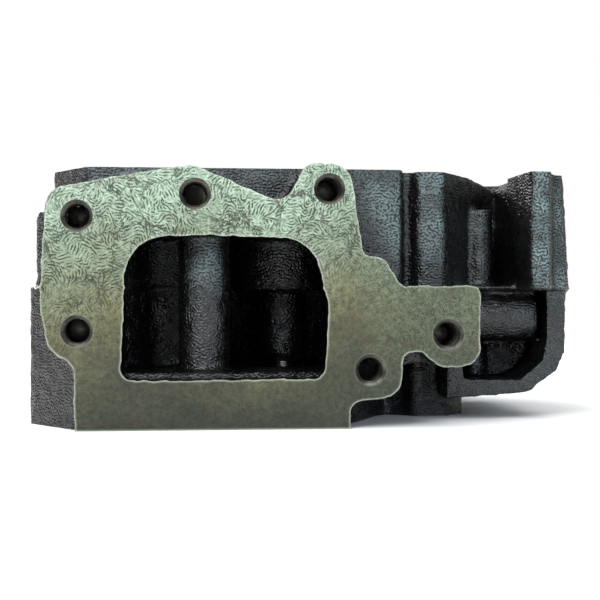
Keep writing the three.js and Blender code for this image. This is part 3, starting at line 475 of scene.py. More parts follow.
    lines = add(tree, MATH, {0: strokes, 1: cracks}, operation="MAXIMUM")
    marks = add(tree, MATH, {0: lines, 1: pits}, operation="MAXIMUM")
    marked = add(tree, MATH, {0: marks, 1: 0.85}, operation="MULTIPLY")
    colour = add(tree, MIX, {0: marked, 6: colour, 7: "#15170f"}, **COLOURS).outputs[2]

    # rust-brown stains, then the pale edge, which is partly worn metal and partly a painted highlight
    stains = add(tree, NOISE, {"Vector": place, "Scale": 1 / 9, "Detail": 5.0, "Roughness": 0.7})
    stained = add(tree, MAP, {"Value": stains, "From Min": 0.58, "From Max": 0.7, "To Max": 0.65})
    colour = add(tree, MIX, {0: stained, 6: colour, 7: "#493b28"}, **COLOURS).outputs[2]
    reach = {"Distance": WORN_AND_HIGHLIT_EDGE * MM}
    rim = add(tree, AMBIENT_OCCLUSION, reach, samples=6, inside=True, only_local=True)
    fade = {"Value": rim.outputs["AO"], "From Min": 0.55, "From Max": 0.92, "To Min": 0.45, "To Max": 0.0}
    worn_and_highlit = add(tree, MAP, fade)
    colour = add(tree, MIX, {0: worn_and_highlit, 6: colour, 7: "#c6cfbc"}, **COLOURS).outputs[2]
    tree.links.new(colour, shader.inputs["Base Color"])

    haze = {"Value": mottle, "From Min": 0.3, "From Max": 0.7, "To Min": 0.38, "To Max": 0.62}
    dullness = add(tree, MAP, haze)
    tree.links.new(dullness.outputs[0], shader.inputs["Roughness"])
    relief = add(tree, MATH, {0: marks, 1: -1.0, 2: mottle}, operation="MULTIPLY_ADD")
    bump = add(tree, BUMP, {"Height": relief, "Distance": 0.2 * MM})
    tree.links.new(bump.outputs[0], shader.inputs["Normal"])
    return material


# %% [markdown]
# ### Bare cut metal
#
# A face mill leaves wide shallow arcs, a drill leaves fine rings, and both go brown under old oil. The
# firing face also carries soot inside the ring that the head gasket pressed into it.

# %% Milled and drilled metal
MILL_RADIUS = 62.0  # a face mill's teeth, mm
MILL_FEED = 1.1  # spacing of its arcs, mm
GASKET_RADIUS = 47.5  # inner edge of the head gasket, mm


def milled_iron(name, clean, stained, metallic, stain_share, firing_face=False):
    material, tree, shader, place = finish(name, clean, 0.4, metallic)
    clouds = add(tree, NOISE, {"Vector": place, "Scale": 1 / 18, "Detail": 5.0, "Roughness": 0.65})
    spots = add(tree, NOISE, {"Vector": place, "Scale": 1 / 1.6, "Detail": 3.0, "Roughness": 0.7})
    share = {"Value": clouds, "From Min": 0.62 - stain_share * 0.4, "From Max": 0.72 - stain_share * 0.3}
    colour = add(tree, MIX, {0: add(tree, MAP, share), 6: clean, 7: stained}, **COLOURS).outputs[2]
    pitted = add(tree, MAP, {"Value": spots, "From Min": 0.6, "From Max": 0.7, "To Max": 0.6})
    colour = add(tree, MIX, {0: pitted, 6: colour, 7: "#1d1a16"}, **COLOURS).outputs[2]
    if firing_face:
        flat = add(tree, VECTOR, {0: place, 1: (1.0, 1.0, 0.0)}, operation="MULTIPLY")
        from_bore = add(tree, VECTOR, {0: flat}, operation="LENGTH").outputs["Value"]
        ragged = add(tree, MATH, {0: clouds, 1: 7.0, 2: from_bore}, operation="MULTIPLY_ADD")
        edge = {"Value": ragged, "From Min": GASKET_RADIUS + 1.0, "From Max": GASKET_RADIUS + 4.5}
        soot = add(tree, MAP, {**edge, "To Min": 0.88, "To Max": 0.0})
        burnt = add(tree, MIX, {0: clouds, 6: "#100e0c", 7: "#3d3026"}, **COLOURS).outputs[2]
        colour = add(tree, MIX, {0: soot, 6: colour, 7: burnt}, **COLOURS).outputs[2]
    tree.links.new(colour, shader.inputs["Base Color"])
    sweep = add(tree, VECTOR, {0: place, 1: (MILL_RADIUS, MILL_RADIUS * 3, 0.0)}, operation="ADD")
    arcs = add(
        tree,
        "ShaderNodeTexWave",
        {"Vector": sweep, "Scale": BAND_SCALE / MILL_FEED, "Distortion": 0.6, "Detail": 1.0},
        wave_type="RINGS",
        rings_direction="Z",
    )
    polish = add(tree, MAP, {"Value": spots, "From Min": 0.3, "From Max": 0.7, "To Min": 0.3, "To Max": 0.5})
    tree.links.new(polish.outputs[0], shader.inputs["Roughness"])
    relief = add(tree, MATH, {0: pitted, 1: -1.6, 2: arcs}, operation="MULTIPLY_ADD")
    bump = add(tree, BUMP, {"Height": relief, "Distance": 0.03 * MM})
    tree.links.new(bump.outputs[0], shader.inputs["Normal"])
    return material


def turned_metal(name, colour, roughness, metallic, dirt, dirt_share, ring=0.5, relief=0.012):
    """Turned or drilled metal: fine rings along the axis and a film of old oil. Unless a distance in mm
    is given, the rings are drawn 0.5 mm apart, coarser than real ones, so that they show."""
    material, tree, shader, place = finish(name, colour, roughness, metallic)
    film = add(tree, NOISE, {"Vector": place, "Scale": 1 / 6, "Detail": 4.0, "Roughness": 0.6})
    share = {"Value": film, "From Min": 0.4, "From Max": 0.7, "To Max": dirt_share * 2}
    colour = add(tree, MIX, {0: add(tree, MAP, share), 6: colour, 7: dirt}, **COLOURS).outputs[2]
    tree.links.new(colour, shader.inputs["Base Color"])
    dull = {"Value": film, "From Min": 0.3, "From Max": 0.7}
    dull = add(tree, MAP, {**dull, "To Min": roughness * 0.8, "To Max": roughness * 1.4})
    tree.links.new(dull.outputs[0], shader.inputs["Roughness"])
    bands = {"Vector": place, "Scale": BAND_SCALE / ring, "Distortion": 0.4}
    rings = add(tree, "ShaderNodeTexWave", bands, bands_direction="Z")
    bump = add(tree, BUMP, {"Height": rings.outputs[1], "Distance": relief * MM})
    tree.links.new(bump.outputs[0], shader.inputs["Normal"])
    return material


def valve_steel(name, stem, head, stop):
    """A valve: a ground stem that turns to a burnt, crusted head below a height in mm."""
    material, tree, shader, place = finish(name, stem, 0.22, 1.0)
    level = add(tree, SPLIT_XYZ, {"Vector": place}).outputs["Z"]
    crust = add(tree, NOISE, {"Vector": place, "Scale": 1 / 2.2, "Detail": 4.0, "Roughness": 0.7})
    ragged = add(tree, MATH, {0: crust, 1: 16.0, 2: level}, operation="MULTIPLY_ADD")
    fade = {"Value": ragged, "From Min": stop + 4.0, "From Max": stop + 12.0, "To Min": 1.0, "To Max": 0.0}
    burnt = add(tree, MAP, fade)
    scale = add(tree, MIX, {0: crust, 6: "#2a241e", 7: head}, **COLOURS).outputs[2]
    colour = add(tree, MIX, {0: burnt, 6: stem, 7: scale}, **COLOURS).outputs[2]
    tree.links.new(colour, shader.inputs["Base Color"])
    bare = add(tree, MAP, {"Value": burnt, "To Min": 1.0, "To Max": 0.25})
    tree.links.new(bare.outputs[0], shader.inputs["Metallic"])
    dull = add(tree, MAP, {"Value": burnt, "To Min": 0.2, "To Max": 0.7})
    tree.links.new(dull.outputs[0], shader.inputs["Roughness"])
    lumps = add(tree, MATH, {0: crust, 1: burnt}, operation="MULTIPLY")
    bump = add(tree, BUMP, {"Height": lumps, "Distance": 0.25 * MM})
    tree.links.new(bump.outputs[0], shader.inputs["Normal"])
    return material


def oil_seal_rubber():
    """Moulded fluorocarbon rubber: a matt brown with a faint bloom."""
    material, tree, shader, place = finish("moulded_fluoro_rubber", "#4a3226", 0.6, Specular_IOR_Level=0.4)
    bloom = add(tree, NOISE, {"Vector": place, "Scale": 1 / 2.5, "Detail": 4.0})
    share = add(tree, MAP, {"Value": bloom, "From Min": 0.45, "From Max": 0.7, "To Max": 0.6})
    colour = add(tree, MIX, {0: share, 6: "#4a3226", 7: "#241712"}, **COLOURS).outputs[2]
    tree.links.new(colour, shader.inputs["Base Color"])
    bump = add(tree, BUMP, {"Height": bloom.outputs[0], "Distance": 0.04 * MM})
    tree.links.new(bump.outputs[0], shader.inputs["Normal"])
    return material


# %% Make every finish
CAST_IRON = sand_cast_iron()
FLANGE_FILM = lacquered_flange()
RAIL_FACE = milled_iron("milled_iron_oil_browned", "#6d655a", "#3b3027", 0.45, 0.5)
FIRING_FACE = milled_iron("milled_iron_firing_face", "#9a9a95", "#6b6154", 0.85, 0.2, firing_face=True)
PORT_PAD = milled_iron("milled_iron_heat_browned", "#7a6a58", "#4b3526", 0.5, 0.5)
DRILLED_IRON = turned_metal("drilled_iron_oiled", "#74736c", 0.33, 0.95, "#17140f", 0.42)
SEAT_IRON = turned_metal("ground_seat_iron", "#a3a39d", 0.26, 1.0, "#4a423a", 0.25)
GUIDE_BRONZE = turned_metal("reamed_bronze", "#a5824a", 0.34, 1.0, "#4b3a20", 0.35)
INTAKE_STEEL = valve_steel("ground_valve_steel_intake", "#b4b6b6", "#57493a", 15.0)
EXHAUST_STEEL = valve_steel("ground_valve_steel_exhaust", "#a9a49c", "#9a7a5c", 20.0)
SEAL_RUBBER = oil_seal_rubber()
SPRING_STEEL = turned_metal("shot_peened_spring_steel", "#4d555c", 0.38, 0.9, "#15171a", 0.3, 1.2, 0.03)
RETAINER_STEEL = turned_metal("phosphated_steel", "#5a5e5e", 0.45, 0.8, "#26241f", 0.35)
COLLET_STEEL = turned_metal("hardened_collet_steel", "#8a8f93", 0.28, 1.0, "#33302a", 0.25)
COPPER = turned_metal("drawn_copper", "#b8714a", 0.3, 1.0, "#5a3220", 0.4)
PLUG_ZINC = turned_metal("yellow_zinc_plated_steel", "#b3a873", 0.36, 0.95, "#6e6a55", 0.4)
PLUG_STEEL = turned_metal("blackened_plug_steel", "#3c3d3b", 0.42, 0.85, "#171512", 0.4)
print(len(bpy.data.materials), "materials in the file")

# %% [markdown]
# ## The milled faces
#
# The record of the part names the faces where other parts bolt on. On the real head these are the only
# flat, sharp faces: the cutter takes off two or three millimetres of skin and leaves bright metal. The
# same faces are found here on a welded copy of the mechanical model, with every round hole that opens in
# them.

# %% Weld a copy of the mechanical casting and find what is milled
WELD = 0.01 * MM
FLAT = 0.999
MOUNTS = {mount["name"]: mount for mount in frame["record"]["mounts"]}


def welded_copy(node):
    """A node's loose triangles, joined into one closed skin."""
    bm = bmesh.new()
    bm.from_mesh(NODES[node].data)
    bmesh.ops.remove_doubles(bm, verts=bm.verts, dist=WELD)
    bm.normal_update()
    return bm


def milled_face(bm, mount):
    """The triangles that lie in a mount's plane."""
    axis = Vector(mount["axis"])
    level = axis.dot(Vector(mount["pos_m"]))
    return [
        face
        for face in bm.faces
        if face.normal.dot(axis) > FLAT and abs(axis.dot(face.calc_center_median()) - level) < WELD
    ]


def outline_loops(faces):
    """The closed loops of points round a set of faces."""
    inside = set(faces)
    edges = [e for f in faces for e in f.edges if sum(g in inside for g in e.link_faces) == 1]
    beside = {}
    for edge in edges:
        for point in edge.verts:
            beside.setdefault(point, []).append(edge.other_vert(point))
    loops = []
    while beside:
        loop = [next(iter(beside))]
        while loop[-1] in beside:
            following = [p for p in beside.pop(loop[-1]) if p in beside]
            if not following:
                break
            loop.append(following[0])
        loops.append(loop)
    return loops


def round_holes(faces):
    """The middle and radius of each loop that is a circle."""
    holes = []
    for loop in outline_loops(faces):
        middle = sum((p.co for p in loop), Vector()) / len(loop)
        reach = [(p.co - middle).length for p in loop]
        if len(loop) >= 12 and max(reach) - min(reach) < 3 * WELD:
            holes.append((middle, sum(reach) / len(reach)))
    return holes


blank = welded_copy("head_casting")
MILLED = {name: milled_face(blank, mount) for name, mount in MOUNTS.items()}
HOLES = {name: round_holes(faces) for name, faces in MILLED.items()}


def span(faces):
    """The lowest and highest corner of a set of faces."""
    points = np.array([p.co for face in faces for p in face.verts])
    return Vector(points.min(0)), Vector(points.max(0))


MILLED_SPAN = {name: span(faces) for name, faces in MILLED.items()}
for name, holes in HOLES.items():
    sizes = [f"{radius / MM:.2f}" for _, radius in holes]
    print(name, "has", len(MILLED[name]), "triangles and holes of radius", sizes)

# %% [markdown]
# ## Drills, reamers and taps
#
# A drilled hole is a surface of revolution, so a cutting tool is a profile of depth and radius turned
# about the hole's axis. The tool's faces carry the finish that the cut leaves behind. The tool list is
# worked out from the holes found above and from the boxes of the parts that are pressed in.

# %% Turned shapes
SIDES = 64


def turned(profile, sides=SIDES, place=Matrix(), name="turned", slot=0):
    """A closed body of revolution about Z. The profile is a loop of (radius, height) in mm, with the
    inside on its left."""
    bm = bmesh.new()
    rings = []
    for radius, height in profile:
        if radius < 1e-6:
            rings.append([bm.verts.new((0, 0, height * MM))])
            continue
        angles = [math.tau * i / sides for i in range(sides)]
        around = [(radius * MM * math.cos(a), radius * MM * math.sin(a)) for a in angles]
        rings.append([bm.verts.new((x, y, height * MM)) for x, y in around])
    for low, high in zip(rings, rings[1:] + rings[:1]):
        if len(low) == 1 and len(high) == 1:
            continue
        for i in range(sides):
            j = (i + 1) % sides
            corners = [low[i % len(low)], low[j % len(low)], high[j % len(high)], high[i % len(high)]]
            bm.faces.new(list(dict.fromkeys(corners))).material_index = slot
    bmesh.ops.recalc_face_normals(bm, faces=bm.faces)
    bm.transform(place)
    return new_object(name, mesh_from(bm, name))


def facing(middle, inward):
    """Places a tool made along +Z so that it starts at a point and runs inward."""
    return Matrix.Translation(middle) @ Vector(inward).to_track_quat("Z", "Y").to_matrix().to_4x4()


OVERSHOOT = 6.0  # how far a tool sticks out of the face it enters
CHAMFER = 0.7


def drill(depth, radius, chamfer=CHAMFER, tip=0.0):
    """A hole's profile from the face inward: chamfer, wall and, on a blind hole, the drill's cone."""
    mouth = radius + chamfer
    lead_in = [(0, -OVERSHOOT), (mouth, -OVERSHOOT), (mouth, 0)]
    return [*lead_in, (radius, chamfer), (radius, depth), (0, depth + tip)]


print("a tapping drill's profile is", drill(22, 4.25, 0.75, 2.4))

# %% The list of drilled holes
HEAD_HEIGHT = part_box("head_casting")[1].z / MM
TAPPED_MOUTH, TAPPED_CORE, TAPPED_DEPTH = 6.0, 4.25, 22.0  # an M10 thread
COVER_CORE, COVER_DEPTH = 3.4, 16.0  # an M8 thread
WATER_DEPTH, OIL_DEPTH, OUTLET_DEPTH = 26.0, 64.0, 58.0
THROUGH = HEAD_HEIGHT + OVERSHOOT
DRILL_TIP = 0.6  # rise of a drill's cone as a share of the radius
BORE_GAP = 0.3  # clearance between a pressed part and its bore

DRILLS = {
    "fire_deck": {
        4.5: drill(WATER_DEPTH, 4.5),
        7.0: drill(THROUGH, 7.0),
        6.75: drill(THROUGH, 6.75, 1.0),
        3.0: drill(OIL_DEPTH, 3.0, 0.5),
    },
    "intake_flange": {TAPPED_MOUTH: drill(TAPPED_DEPTH, TAPPED_CORE, 1.35, TAPPED_CORE * DRILL_TIP)},
    "exhaust_flange": {TAPPED_MOUTH: drill(TAPPED_DEPTH, TAPPED_CORE, 1.35, TAPPED_CORE * DRILL_TIP)},
    "rocker_cover_rail": {COVER_CORE: drill(COVER_DEPTH, COVER_CORE, 0.9, COVER_CORE * DRILL_TIP)},
    "coolant_outlet": {9.0: drill(OUTLET_DEPTH, 9.0, 1.0)},
}


def size_key(radius, table):
    """The table's radius that a measured radius stands for, if it has one."""
    return next((size for size in table if abs(size - radius / MM) < 0.05), None)


SOCKETS = []  # (where the hole starts, its inward direction, its profile in mm)
for mount, table in DRILLS.items():
    inward = -Vector(MOUNTS[mount]["axis"])
    for middle, radius in HOLES[mount]:
        size = size_key(radius, table)
        if size:
            SOCKETS.append((middle, inward, table[size]))

UP = Vector((0, 0, 1))
for valve in ("intake", "exhaust"):
    seat_low, seat_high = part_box(f"{valve}_valve_seat")
    guide_low, guide_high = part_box(f"{valve}_valve_guide")
    insert = (seat_high.x - seat_low.x) / 2 / MM + BORE_GAP
    depth = seat_high.z / MM + BORE_GAP
    guide = (guide_high.x - guide_low.x) / 2 / MM + BORE_GAP
    foot = Vector(((seat_low.x + seat_high.x) / 2, (seat_low.y + seat_high.y) / 2, 0))
    SOCKETS.append((foot, UP, drill(depth, insert, 0.4)))
    SOCKETS.append((foot + UP * 4 * MM, UP, drill(OIL_DEPTH, guide, 0.0)))

low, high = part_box("injector_sleeve")
nozzle_seat = low.z / MM
NOZZLE, NOSE = 4.0, 5.5
outer = (high.x - low.x) / 2 / MM + BORE_GAP
SOCKETS.append(
    (
        Vector(((low.x + high.x) / 2, (low.y + high.y) / 2, 0)),
        UP,
        [
            (0, -OVERSHOOT),
            (NOZZLE, -OVERSHOOT),
            (NOZZLE, nozzle_seat - BORE_GAP),
            (NOSE, nozzle_seat - BORE_GAP),
            (NOSE, nozzle_seat + 6),
            (outer, nozzle_seat + 6 + outer - NOSE),
            (outer, THROUGH),
            (0, THROUGH),
        ],
    )
)

PLUGS = {
    "core_plug_left": (-1, 0, 0),
    "core_plug_right": (1, 0, 0),
    "core_plug_back": (0, 1, 0),
    "core_plug_back_left": (0, 1, 0),
    "oil_gallery_plug": (-1, 0, 0),
}


def plug_size(node):
    """A plug's outward axis, its outer face's middle, and its radius in mm."""
    low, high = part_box(node)
    out = Vector(PLUGS[node])
    middle = (low + high) / 2
    half = (high - low) / 2
    along = max(range(3), key=lambda i: abs(out[i]))
    return out, middle + out * half[along], half[(along + 1) % 3] / MM


for node in PLUGS:
    out, rim, radius = plug_size(node)
    deep = 24.0 if node.startswith("core") else 10.0
    SOCKETS.append((rim + out * MM, -out, drill(deep + 1, radius + BORE_GAP, 0.0)))

print("machining plan:", len(SOCKETS), "drilled, reamed and bored holes")

# %% [markdown]
# ## Fill the holes again
#
# The foundry pours the block solid wherever a drill will pass later. The welded copy still has its
# drilled holes, so each one is closed with a slug of metal before the rough skin is made. A slug must not
# cross an open cored space, so each hole is probed every millimetre: where a ring just outside its wall
# lies in metal, it is filled.

# %% Slugs of metal in the drilled holes
STOCK = 3.0  # metal left on a face for the milling cutter, mm
PROBE_RING = 1.3  # how far outside a hole's wall the probe looks, mm
PROBES = 10


def inside(tree, point):
    """True where a point lies in metal: a ray leaves it through an odd number of walls."""
    direction = Vector((0.131, 0.211, 0.969)).normalized()
    crossings = 0
    start = point
    while True:
        hit = tree.ray_cast(start, direction)
        if hit[0] is None:
            return crossings % 2 == 1
        crossings += 1
        start = hit[0] + direction * WELD


def metal_spans(tree, middle, inward, profile):
    """The stretches of a hole that have metal all round: from, to and radius in mm."""
    tool_frame = facing(middle, inward)
    wall = [(depth, radius) for radius, depth in profile if radius > 0]
    depths, radii = zip(*wall)
    angles = np.arange(PROBES) * math.tau / PROBES
    spans = []
    for depth in np.arange(0.5, depths[-1], 1.0):
        radius = float(np.interp(depth, depths, radii))
        reach = (radius + PROBE_RING) * MM
        ring = [Vector((reach * math.cos(a), reach * math.sin(a), depth * MM)) for a in angles]
        if sum(inside(tree, tool_frame @ point) for point in ring) < PROBES * 0.8:
            continue
        if spans and depth - spans[-1][1] < 1 and abs(radius - spans[-1][2]) < 1:
            spans[-1][1] = depth + 0.5
        else:
            spans.append([depth - 0.5, depth + 0.5, radius])
    return spans


skin = BVHTree.FromBMesh(blank)
slugs = []
for middle, inward, profile in SOCKETS:
    for start, stop, radius in metal_spans(skin, middle, inward, profile):
        if start < 1:
            start = -STOCK
        wall = radius + 0.4
        shape = [(0, start), (wall, start), (wall, stop + 0.5), (0, stop + 0.5)]
        slugs.append(turned(shape, 32, facing(middle, inward), "slug"))
print(len(slugs), "slugs close the drilled holes")

# %% [markdown]
# ## The rough casting
#
# Sand cast iron has no sharp edge anywhere: corners are rounded by the sand, walls wave by half a
# millimetre, and the skin keeps the grain of the mould. Pushing the milled faces out gives the foundry's
# machining allowance. A voxel remesh then melts block and slugs into one skin, closes over the sealed
# coolant jacket, and rounds every edge as sand would. Geometry Nodes move that skin by two sizes of noise
# and raise the seam where the mould halves met.

# %% Machining allowance
for name, faces in MILLED.items():
    outward = Vector(MOUNTS[name]["axis"]) * STOCK * MM
    for point in {p for face in faces for p in face.verts}:
        point.co += outward

casting = new_object("casting", mesh_from(blank, "casting_blank"))


def join_into(target, others):
    """Puts other objects' meshes into the target's mesh, as separate shells, and removes them."""
    bm = bmesh.new()
    for thing in (target, *others):
        bm.from_mesh(thing.data)
    for thing in others:
        bpy.data.objects.remove(thing)
    target.data = mesh_from(bm, target.name)


join_into(casting, slugs)
print("blank has", len(casting.data.polygons), "faces with its slugs")

# %% The sand skin as a geometry tree
VOXEL = 1.15  # mm
WAVE_SIZE, WAVE_HEIGHT = 30.0, 0.7
GRAIN_SIZE, GRAIN_HEIGHT = 2.8, 1.3
SEAM_WIDTH, SEAM_HEIGHT = 1.1, 0.5
PARTING_HEIGHT = 50.0  # where the two mould halves met


def build_sand_tree():
    names = {"Skin": None, "Wave": float, "Grain": float, "Seam": float, "Seam height": float}
    names["Finish"] = bpy.types.Material
    tree, given, result = new_tree("sand_skin", names)
    spot = add(tree, "GeometryNodeInputPosition")

    # the seam: a low ridge where the two mould halves met
    level = add(tree, SPLIT_XYZ, {"Vector": spot}).outputs["Z"]
    off_seam = add(tree, MATH, {0: level, 1: given["Seam height"]}, operation="SUBTRACT")
    off_seam = add(tree, MATH, {0: off_seam}, operation="ABSOLUTE")
    ridge = {"Value": off_seam, "From Max": SEAM_WIDTH * MM, "To Min": given["Seam"], "To Max": 0.0}
    lift = add(tree, MAP, ridge, interpolation_type="SMOOTHSTEP")

    for size, height in ((WAVE_SIZE, given["Wave"]), (GRAIN_SIZE, given["Grain"])):
        noise = add(tree, NOISE, {"Vector": spot, "Scale": 1 / (size * MM), "Detail": 1.0})
        centred = add(tree, MATH, {0: noise, 1: 0.5}, operation="SUBTRACT")
        lift = add(tree, MATH, {0: centred, 1: height, 2: lift}, operation="MULTIPLY_ADD")

    normal = add(tree, "GeometryNodeInputNormal")
    push = add(tree, VECTOR, {0: normal, "Scale": lift}, operation="SCALE")
    moved = add(tree, "GeometryNodeSetPosition", {"Geometry": given["Skin"], "Offset": push})
    real = add(tree, "GeometryNodeRealizeInstances", {"Geometry": moved})
    done = add(tree, "GeometryNodeSetMaterial", {"Geometry": real, "Material": given["Finish"]})
    tree.links.new(done.outputs[0], result.inputs["Geometry"])
    return tree


remesh = casting.modifiers.new("sand_mould", "REMESH")
remesh.mode = "VOXEL"
remesh.voxel_size = VOXEL * MM
smooth = casting.modifiers.new("rounded_edges", "SMOOTH")
smooth.factor = 0.5
smooth.iterations = 2
use_tree(
    casting,
    build_sand_tree(),
    {
        "Wave": WAVE_HEIGHT * MM,
        "Grain": GRAIN_HEIGHT * MM,
        "Seam": SEAM_HEIGHT * MM,
        "Seam height": PARTING_HEIGHT * MM,
        "Finish": CAST_IRON,
    },
)
rough = apply_modifiers(casting)
print("rough casting has", len(rough.polygons), "faces")

# %% Thin the skin where it is even
CAST_TRIANGLES = 145_000
thin = casting.modifiers.new("thin", "DECIMATE")
thin.ratio = CAST_TRIANGLES / (2 * len(rough.polygons))
apply_modifiers(casting)
print("thinned casting has", len(casting.data.polygons), "faces")

# %% [markdown]
# ## Machining
#
# Every cut is a closed tool: a block for each milled face, a turned tool for each hole, and a helix for
# each thread. One Boolean modifier takes them all away at once, and the new faces take the material of
# the tool that made them, so the milled and drilled metal is crisp where it meets the rough skin.

# %% Tools
CAST, FLANGE, RAIL, DECK, PAD, DRILLED = range(6)
MILL_SLOT = {
    "intake_flange": FLANGE,
    "rocker_cover_rail": RAIL,
    "fire_deck": DECK,
    "exhaust_flange": PAD,
    "coolant_outlet": PAD,
}
CUTTER_REACH = 8.0  # how far a milling pass runs past the face, mm

tools = bpy.data.collections.new("tools")
bpy.context.scene.collection.children.link(tools)


def keep_tool(thing):
    for owner in list(thing.users_collection):
        owner.objects.unlink(thing)
    tools.objects.link(thing)
    return thing


def milling_block(mount):
    """A block that stands on a mount's plane and covers its face."""
    low, high = MILLED_SPAN[mount]
    axis = Vector(MOUNTS[mount]["axis"])
    along = max(range(3), key=lambda i: abs(axis[i]))
    level = Vector(MOUNTS[mount]["pos_m"])[along]
    low = low - Vector((1, 1, 1)) * CUTTER_REACH * MM
    high = high + Vector((1, 1, 1)) * CUTTER_REACH * MM
    if axis[along] > 0:
        low[along] = level
        high[along] = level + 2 * STOCK * MM
    else:
        low[along] = level - 2 * STOCK * MM
        high[along] = level
    bm = bmesh.new()
    bmesh.ops.create_cube(bm, size=1)
    bm.transform(Matrix.Translation((low + high) / 2) @ Matrix.Diagonal((*(high - low), 1)))
    for face in bm.faces:
        face.material_index = MILL_SLOT[mount]
    return keep_tool(new_object(f"mill_{mount}", mesh_from(bm, mount)))


for mount in MOUNTS:
    milling_block(mount)
for middle, inward, profile in SOCKETS:
    keep_tool(turned(profile, SIDES, facing(middle, inward), "drill", DRILLED))

# %% Threads
PITCH = 1.5  # coarse M10
THREAD_LENGTH = 13.5


def coil(name, place, values):
    """A helix made by the coil tree, as a plain mesh in its place."""
    thing = new_object(name, bpy.data.meshes.new(name))
    plain = {"Turns", "Sides", "Steps", "Finish"}
    use_tree(thing, coil_tree, {k: v if k in plain else v * MM for k, v in values.items()})
    apply_modifiers(thing)
    thing.data.transform(place)
    return thing


def tap(middle, inward):
    turns = THREAD_LENGTH / PITCH
    sizes = {"Radius": TAPPED_CORE, "Wire": 0.7, "Turns": -turns, "Bottom": 0.6, "Closed": 0.0, "Ground": 0.0}
    sizes.update({"Top": 0.6 + THREAD_LENGTH, "Sides": 4, "Steps": int(turns * 32), "Finish": DRILLED_IRON})
    made = coil("tap", facing(middle, inward), sizes)
    for face in made.data.polygons:
        face.material_index = DRILLED
    return keep_tool(made)


for mount in ("intake_flange", "exhaust_flange"):
    for middle, radius in HOLES[mount]:
        tap(middle, -Vector(MOUNTS[mount]["axis"]))

# %% One cut
cut = casting.modifiers.new("machining", "BOOLEAN")
cut.operation = "DIFFERENCE"
cut.operand_type = "COLLECTION"
cut.collection = tools
cut.solver = "MANIFOLD"
apply_modifiers(casting)
print("machined casting has", len(casting.data.polygons), "faces")
counts = np.bincount([f.material_index for f in casting.data.polygons], minlength=6)
print("faces by finish:", counts.tolist())
for tool in list(tools.objects):
    bpy.data.objects.remove(tool)
bpy.data.collections.remove(tools)

# %% [markdown]
# ## Shading and place of the casting
#
# Only the rough skin and the round walls are shaded smooth; milled faces stay flat, so light breaks at
# their edges.

# %% Finish the casting
SMOOTH_ANGLE = math.radians(40)
CASTING_FINISHES = [CAST_IRON, FLANGE_FILM, RAIL_FACE, FIRING_FACE, PORT_PAD, DRILLED_IRON]


def set_finishes(thing, finishes):
    """Fills an object's material slots in order, keeping which face uses which."""
    slots = thing.data.materials
    for index, material in enumerate(finishes):
        if index < len(slots):
            slots[index] = material
        else:
            slots.append(material)


def place_piece(thing, node, body):
    """Shows a finished piece in place of its mechanical node."""
    thing.name = thing.data.name = f"{node}_finished"
    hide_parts(node)
    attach(thing, body)
    print(thing.name, "has", len(thing.data.polygons), "faces")


set_finishes(casting, CASTING_FINISHES)
for face in casting.data.polygons:
    face.use_smooth = face.material_index in (CAST, DRILLED)
casting.data.set_sharp_from_angle(angle=SMOOTH_ANGLE)
place_piece(casting, "head_casting", "head")

# %% [markdown]
# ## Turned parts
#
# Seats, guides, valves, retainers and seals all come off a lathe, so each is a profile of radius and
# height. A real edge is never sharp: a small round on every corner catches the light and makes the part
# look made of metal.


# %% A rounded profile
def rounded(profile, radius, steps=3):
    """Rounds the corners of a closed profile. A third number on a corner gives it a radius of its own."""
    points = [Vector((corner[0], corner[1])) for corner in profile]
    eased = []
    for i, corner in enumerate(profile):
        here = points[i]
        to_before, to_after = points[i - 1] - here, points[(i + 1) % len(points)] - here
        wish = corner[2] if len(corner) > 2 else radius
        cut = min(wish, 0.45 * to_before.length, 0.45 * to_after.length)
        if here.x < 1e-6 or cut < 1e-3:
            eased.append((here.x, here.y))
            continue
        start, stop = here + to_before.normalized() * cut, here + to_after.normalized() * cut
        for step in range(steps + 1):
            t = step / steps
            spot = start * (1 - t) ** 2 + here * 2 * t * (1 - t) + stop * t * t
            eased.append((spot.x, spot.y))
    return eased


FINE_SIDES = 96


def lathe_part(node, profile, material, body, ease=0.25):
    """A turned part of the valve gear, standing on its node's own axis."""
    middle = centre(node)
    made = turned(rounded(profile, ease), FINE_SIDES, Matrix.Translation((middle.x, middle.y, 0)), node)
    made.data.materials.append(material)
    shade(made, 35)
    place_piece(made, node, body)
    return made


def size_of(node):
    """A node's outer radius, bottom and top in mm."""
    low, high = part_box(node)
    return (high.x - low.x) / 2 / MM, low.z / MM, high.z / MM


# %% [markdown]
# ## Valve seats and guides
#
# The seat is a hard ring pressed into the firing face. Its 45 degree face is ground with the valve. The
# guide is a bronze tube pressed through the port's roof, and the spring washer lies round it.

# %% Seats, guides and spring washers
STEM = 4.0
FIT = 0.3


def valve_seat(valve):
    outer, low, high = size_of(f"{valve}_valve_seat")
    mouth = size_of(f"{valve}_valve")[0] + 0.9
    throat = outer - 5.5 + FIT
    rim = 2.0
    ground = [(throat, rim + mouth - throat), (mouth, rim)]
    profile = [(outer, low), (outer, high), (throat, high), *ground, (mouth, low)]
    lathe_part(f"{valve}_valve_seat", profile, SEAT_IRON, "head")


def valve_guide(valve):
    outer, low, high = size_of(f"{valve}_valve_guide")
    bore = STEM + FIT
    outside = [(outer - 1, low), (outer, low + 3), (outer, high - 1), (outer - 1, high)]
    profile = [(bore, low), *outside, (bore, high)]
    lathe_part(f"{valve}_valve_guide", profile, GUIDE_BRONZE, "head")


def spring_washer(valve):
    outer, low, high = size_of(f"{valve}_spring_seat")
    inner = size_of(f"{valve}_stem_seal")[0] + FIT
    profile = [(inner, low), (outer, low), (outer, high), (inner, high)]
    lathe_part(f"{valve}_spring_seat", profile, RETAINER_STEEL, "head", 0.35)


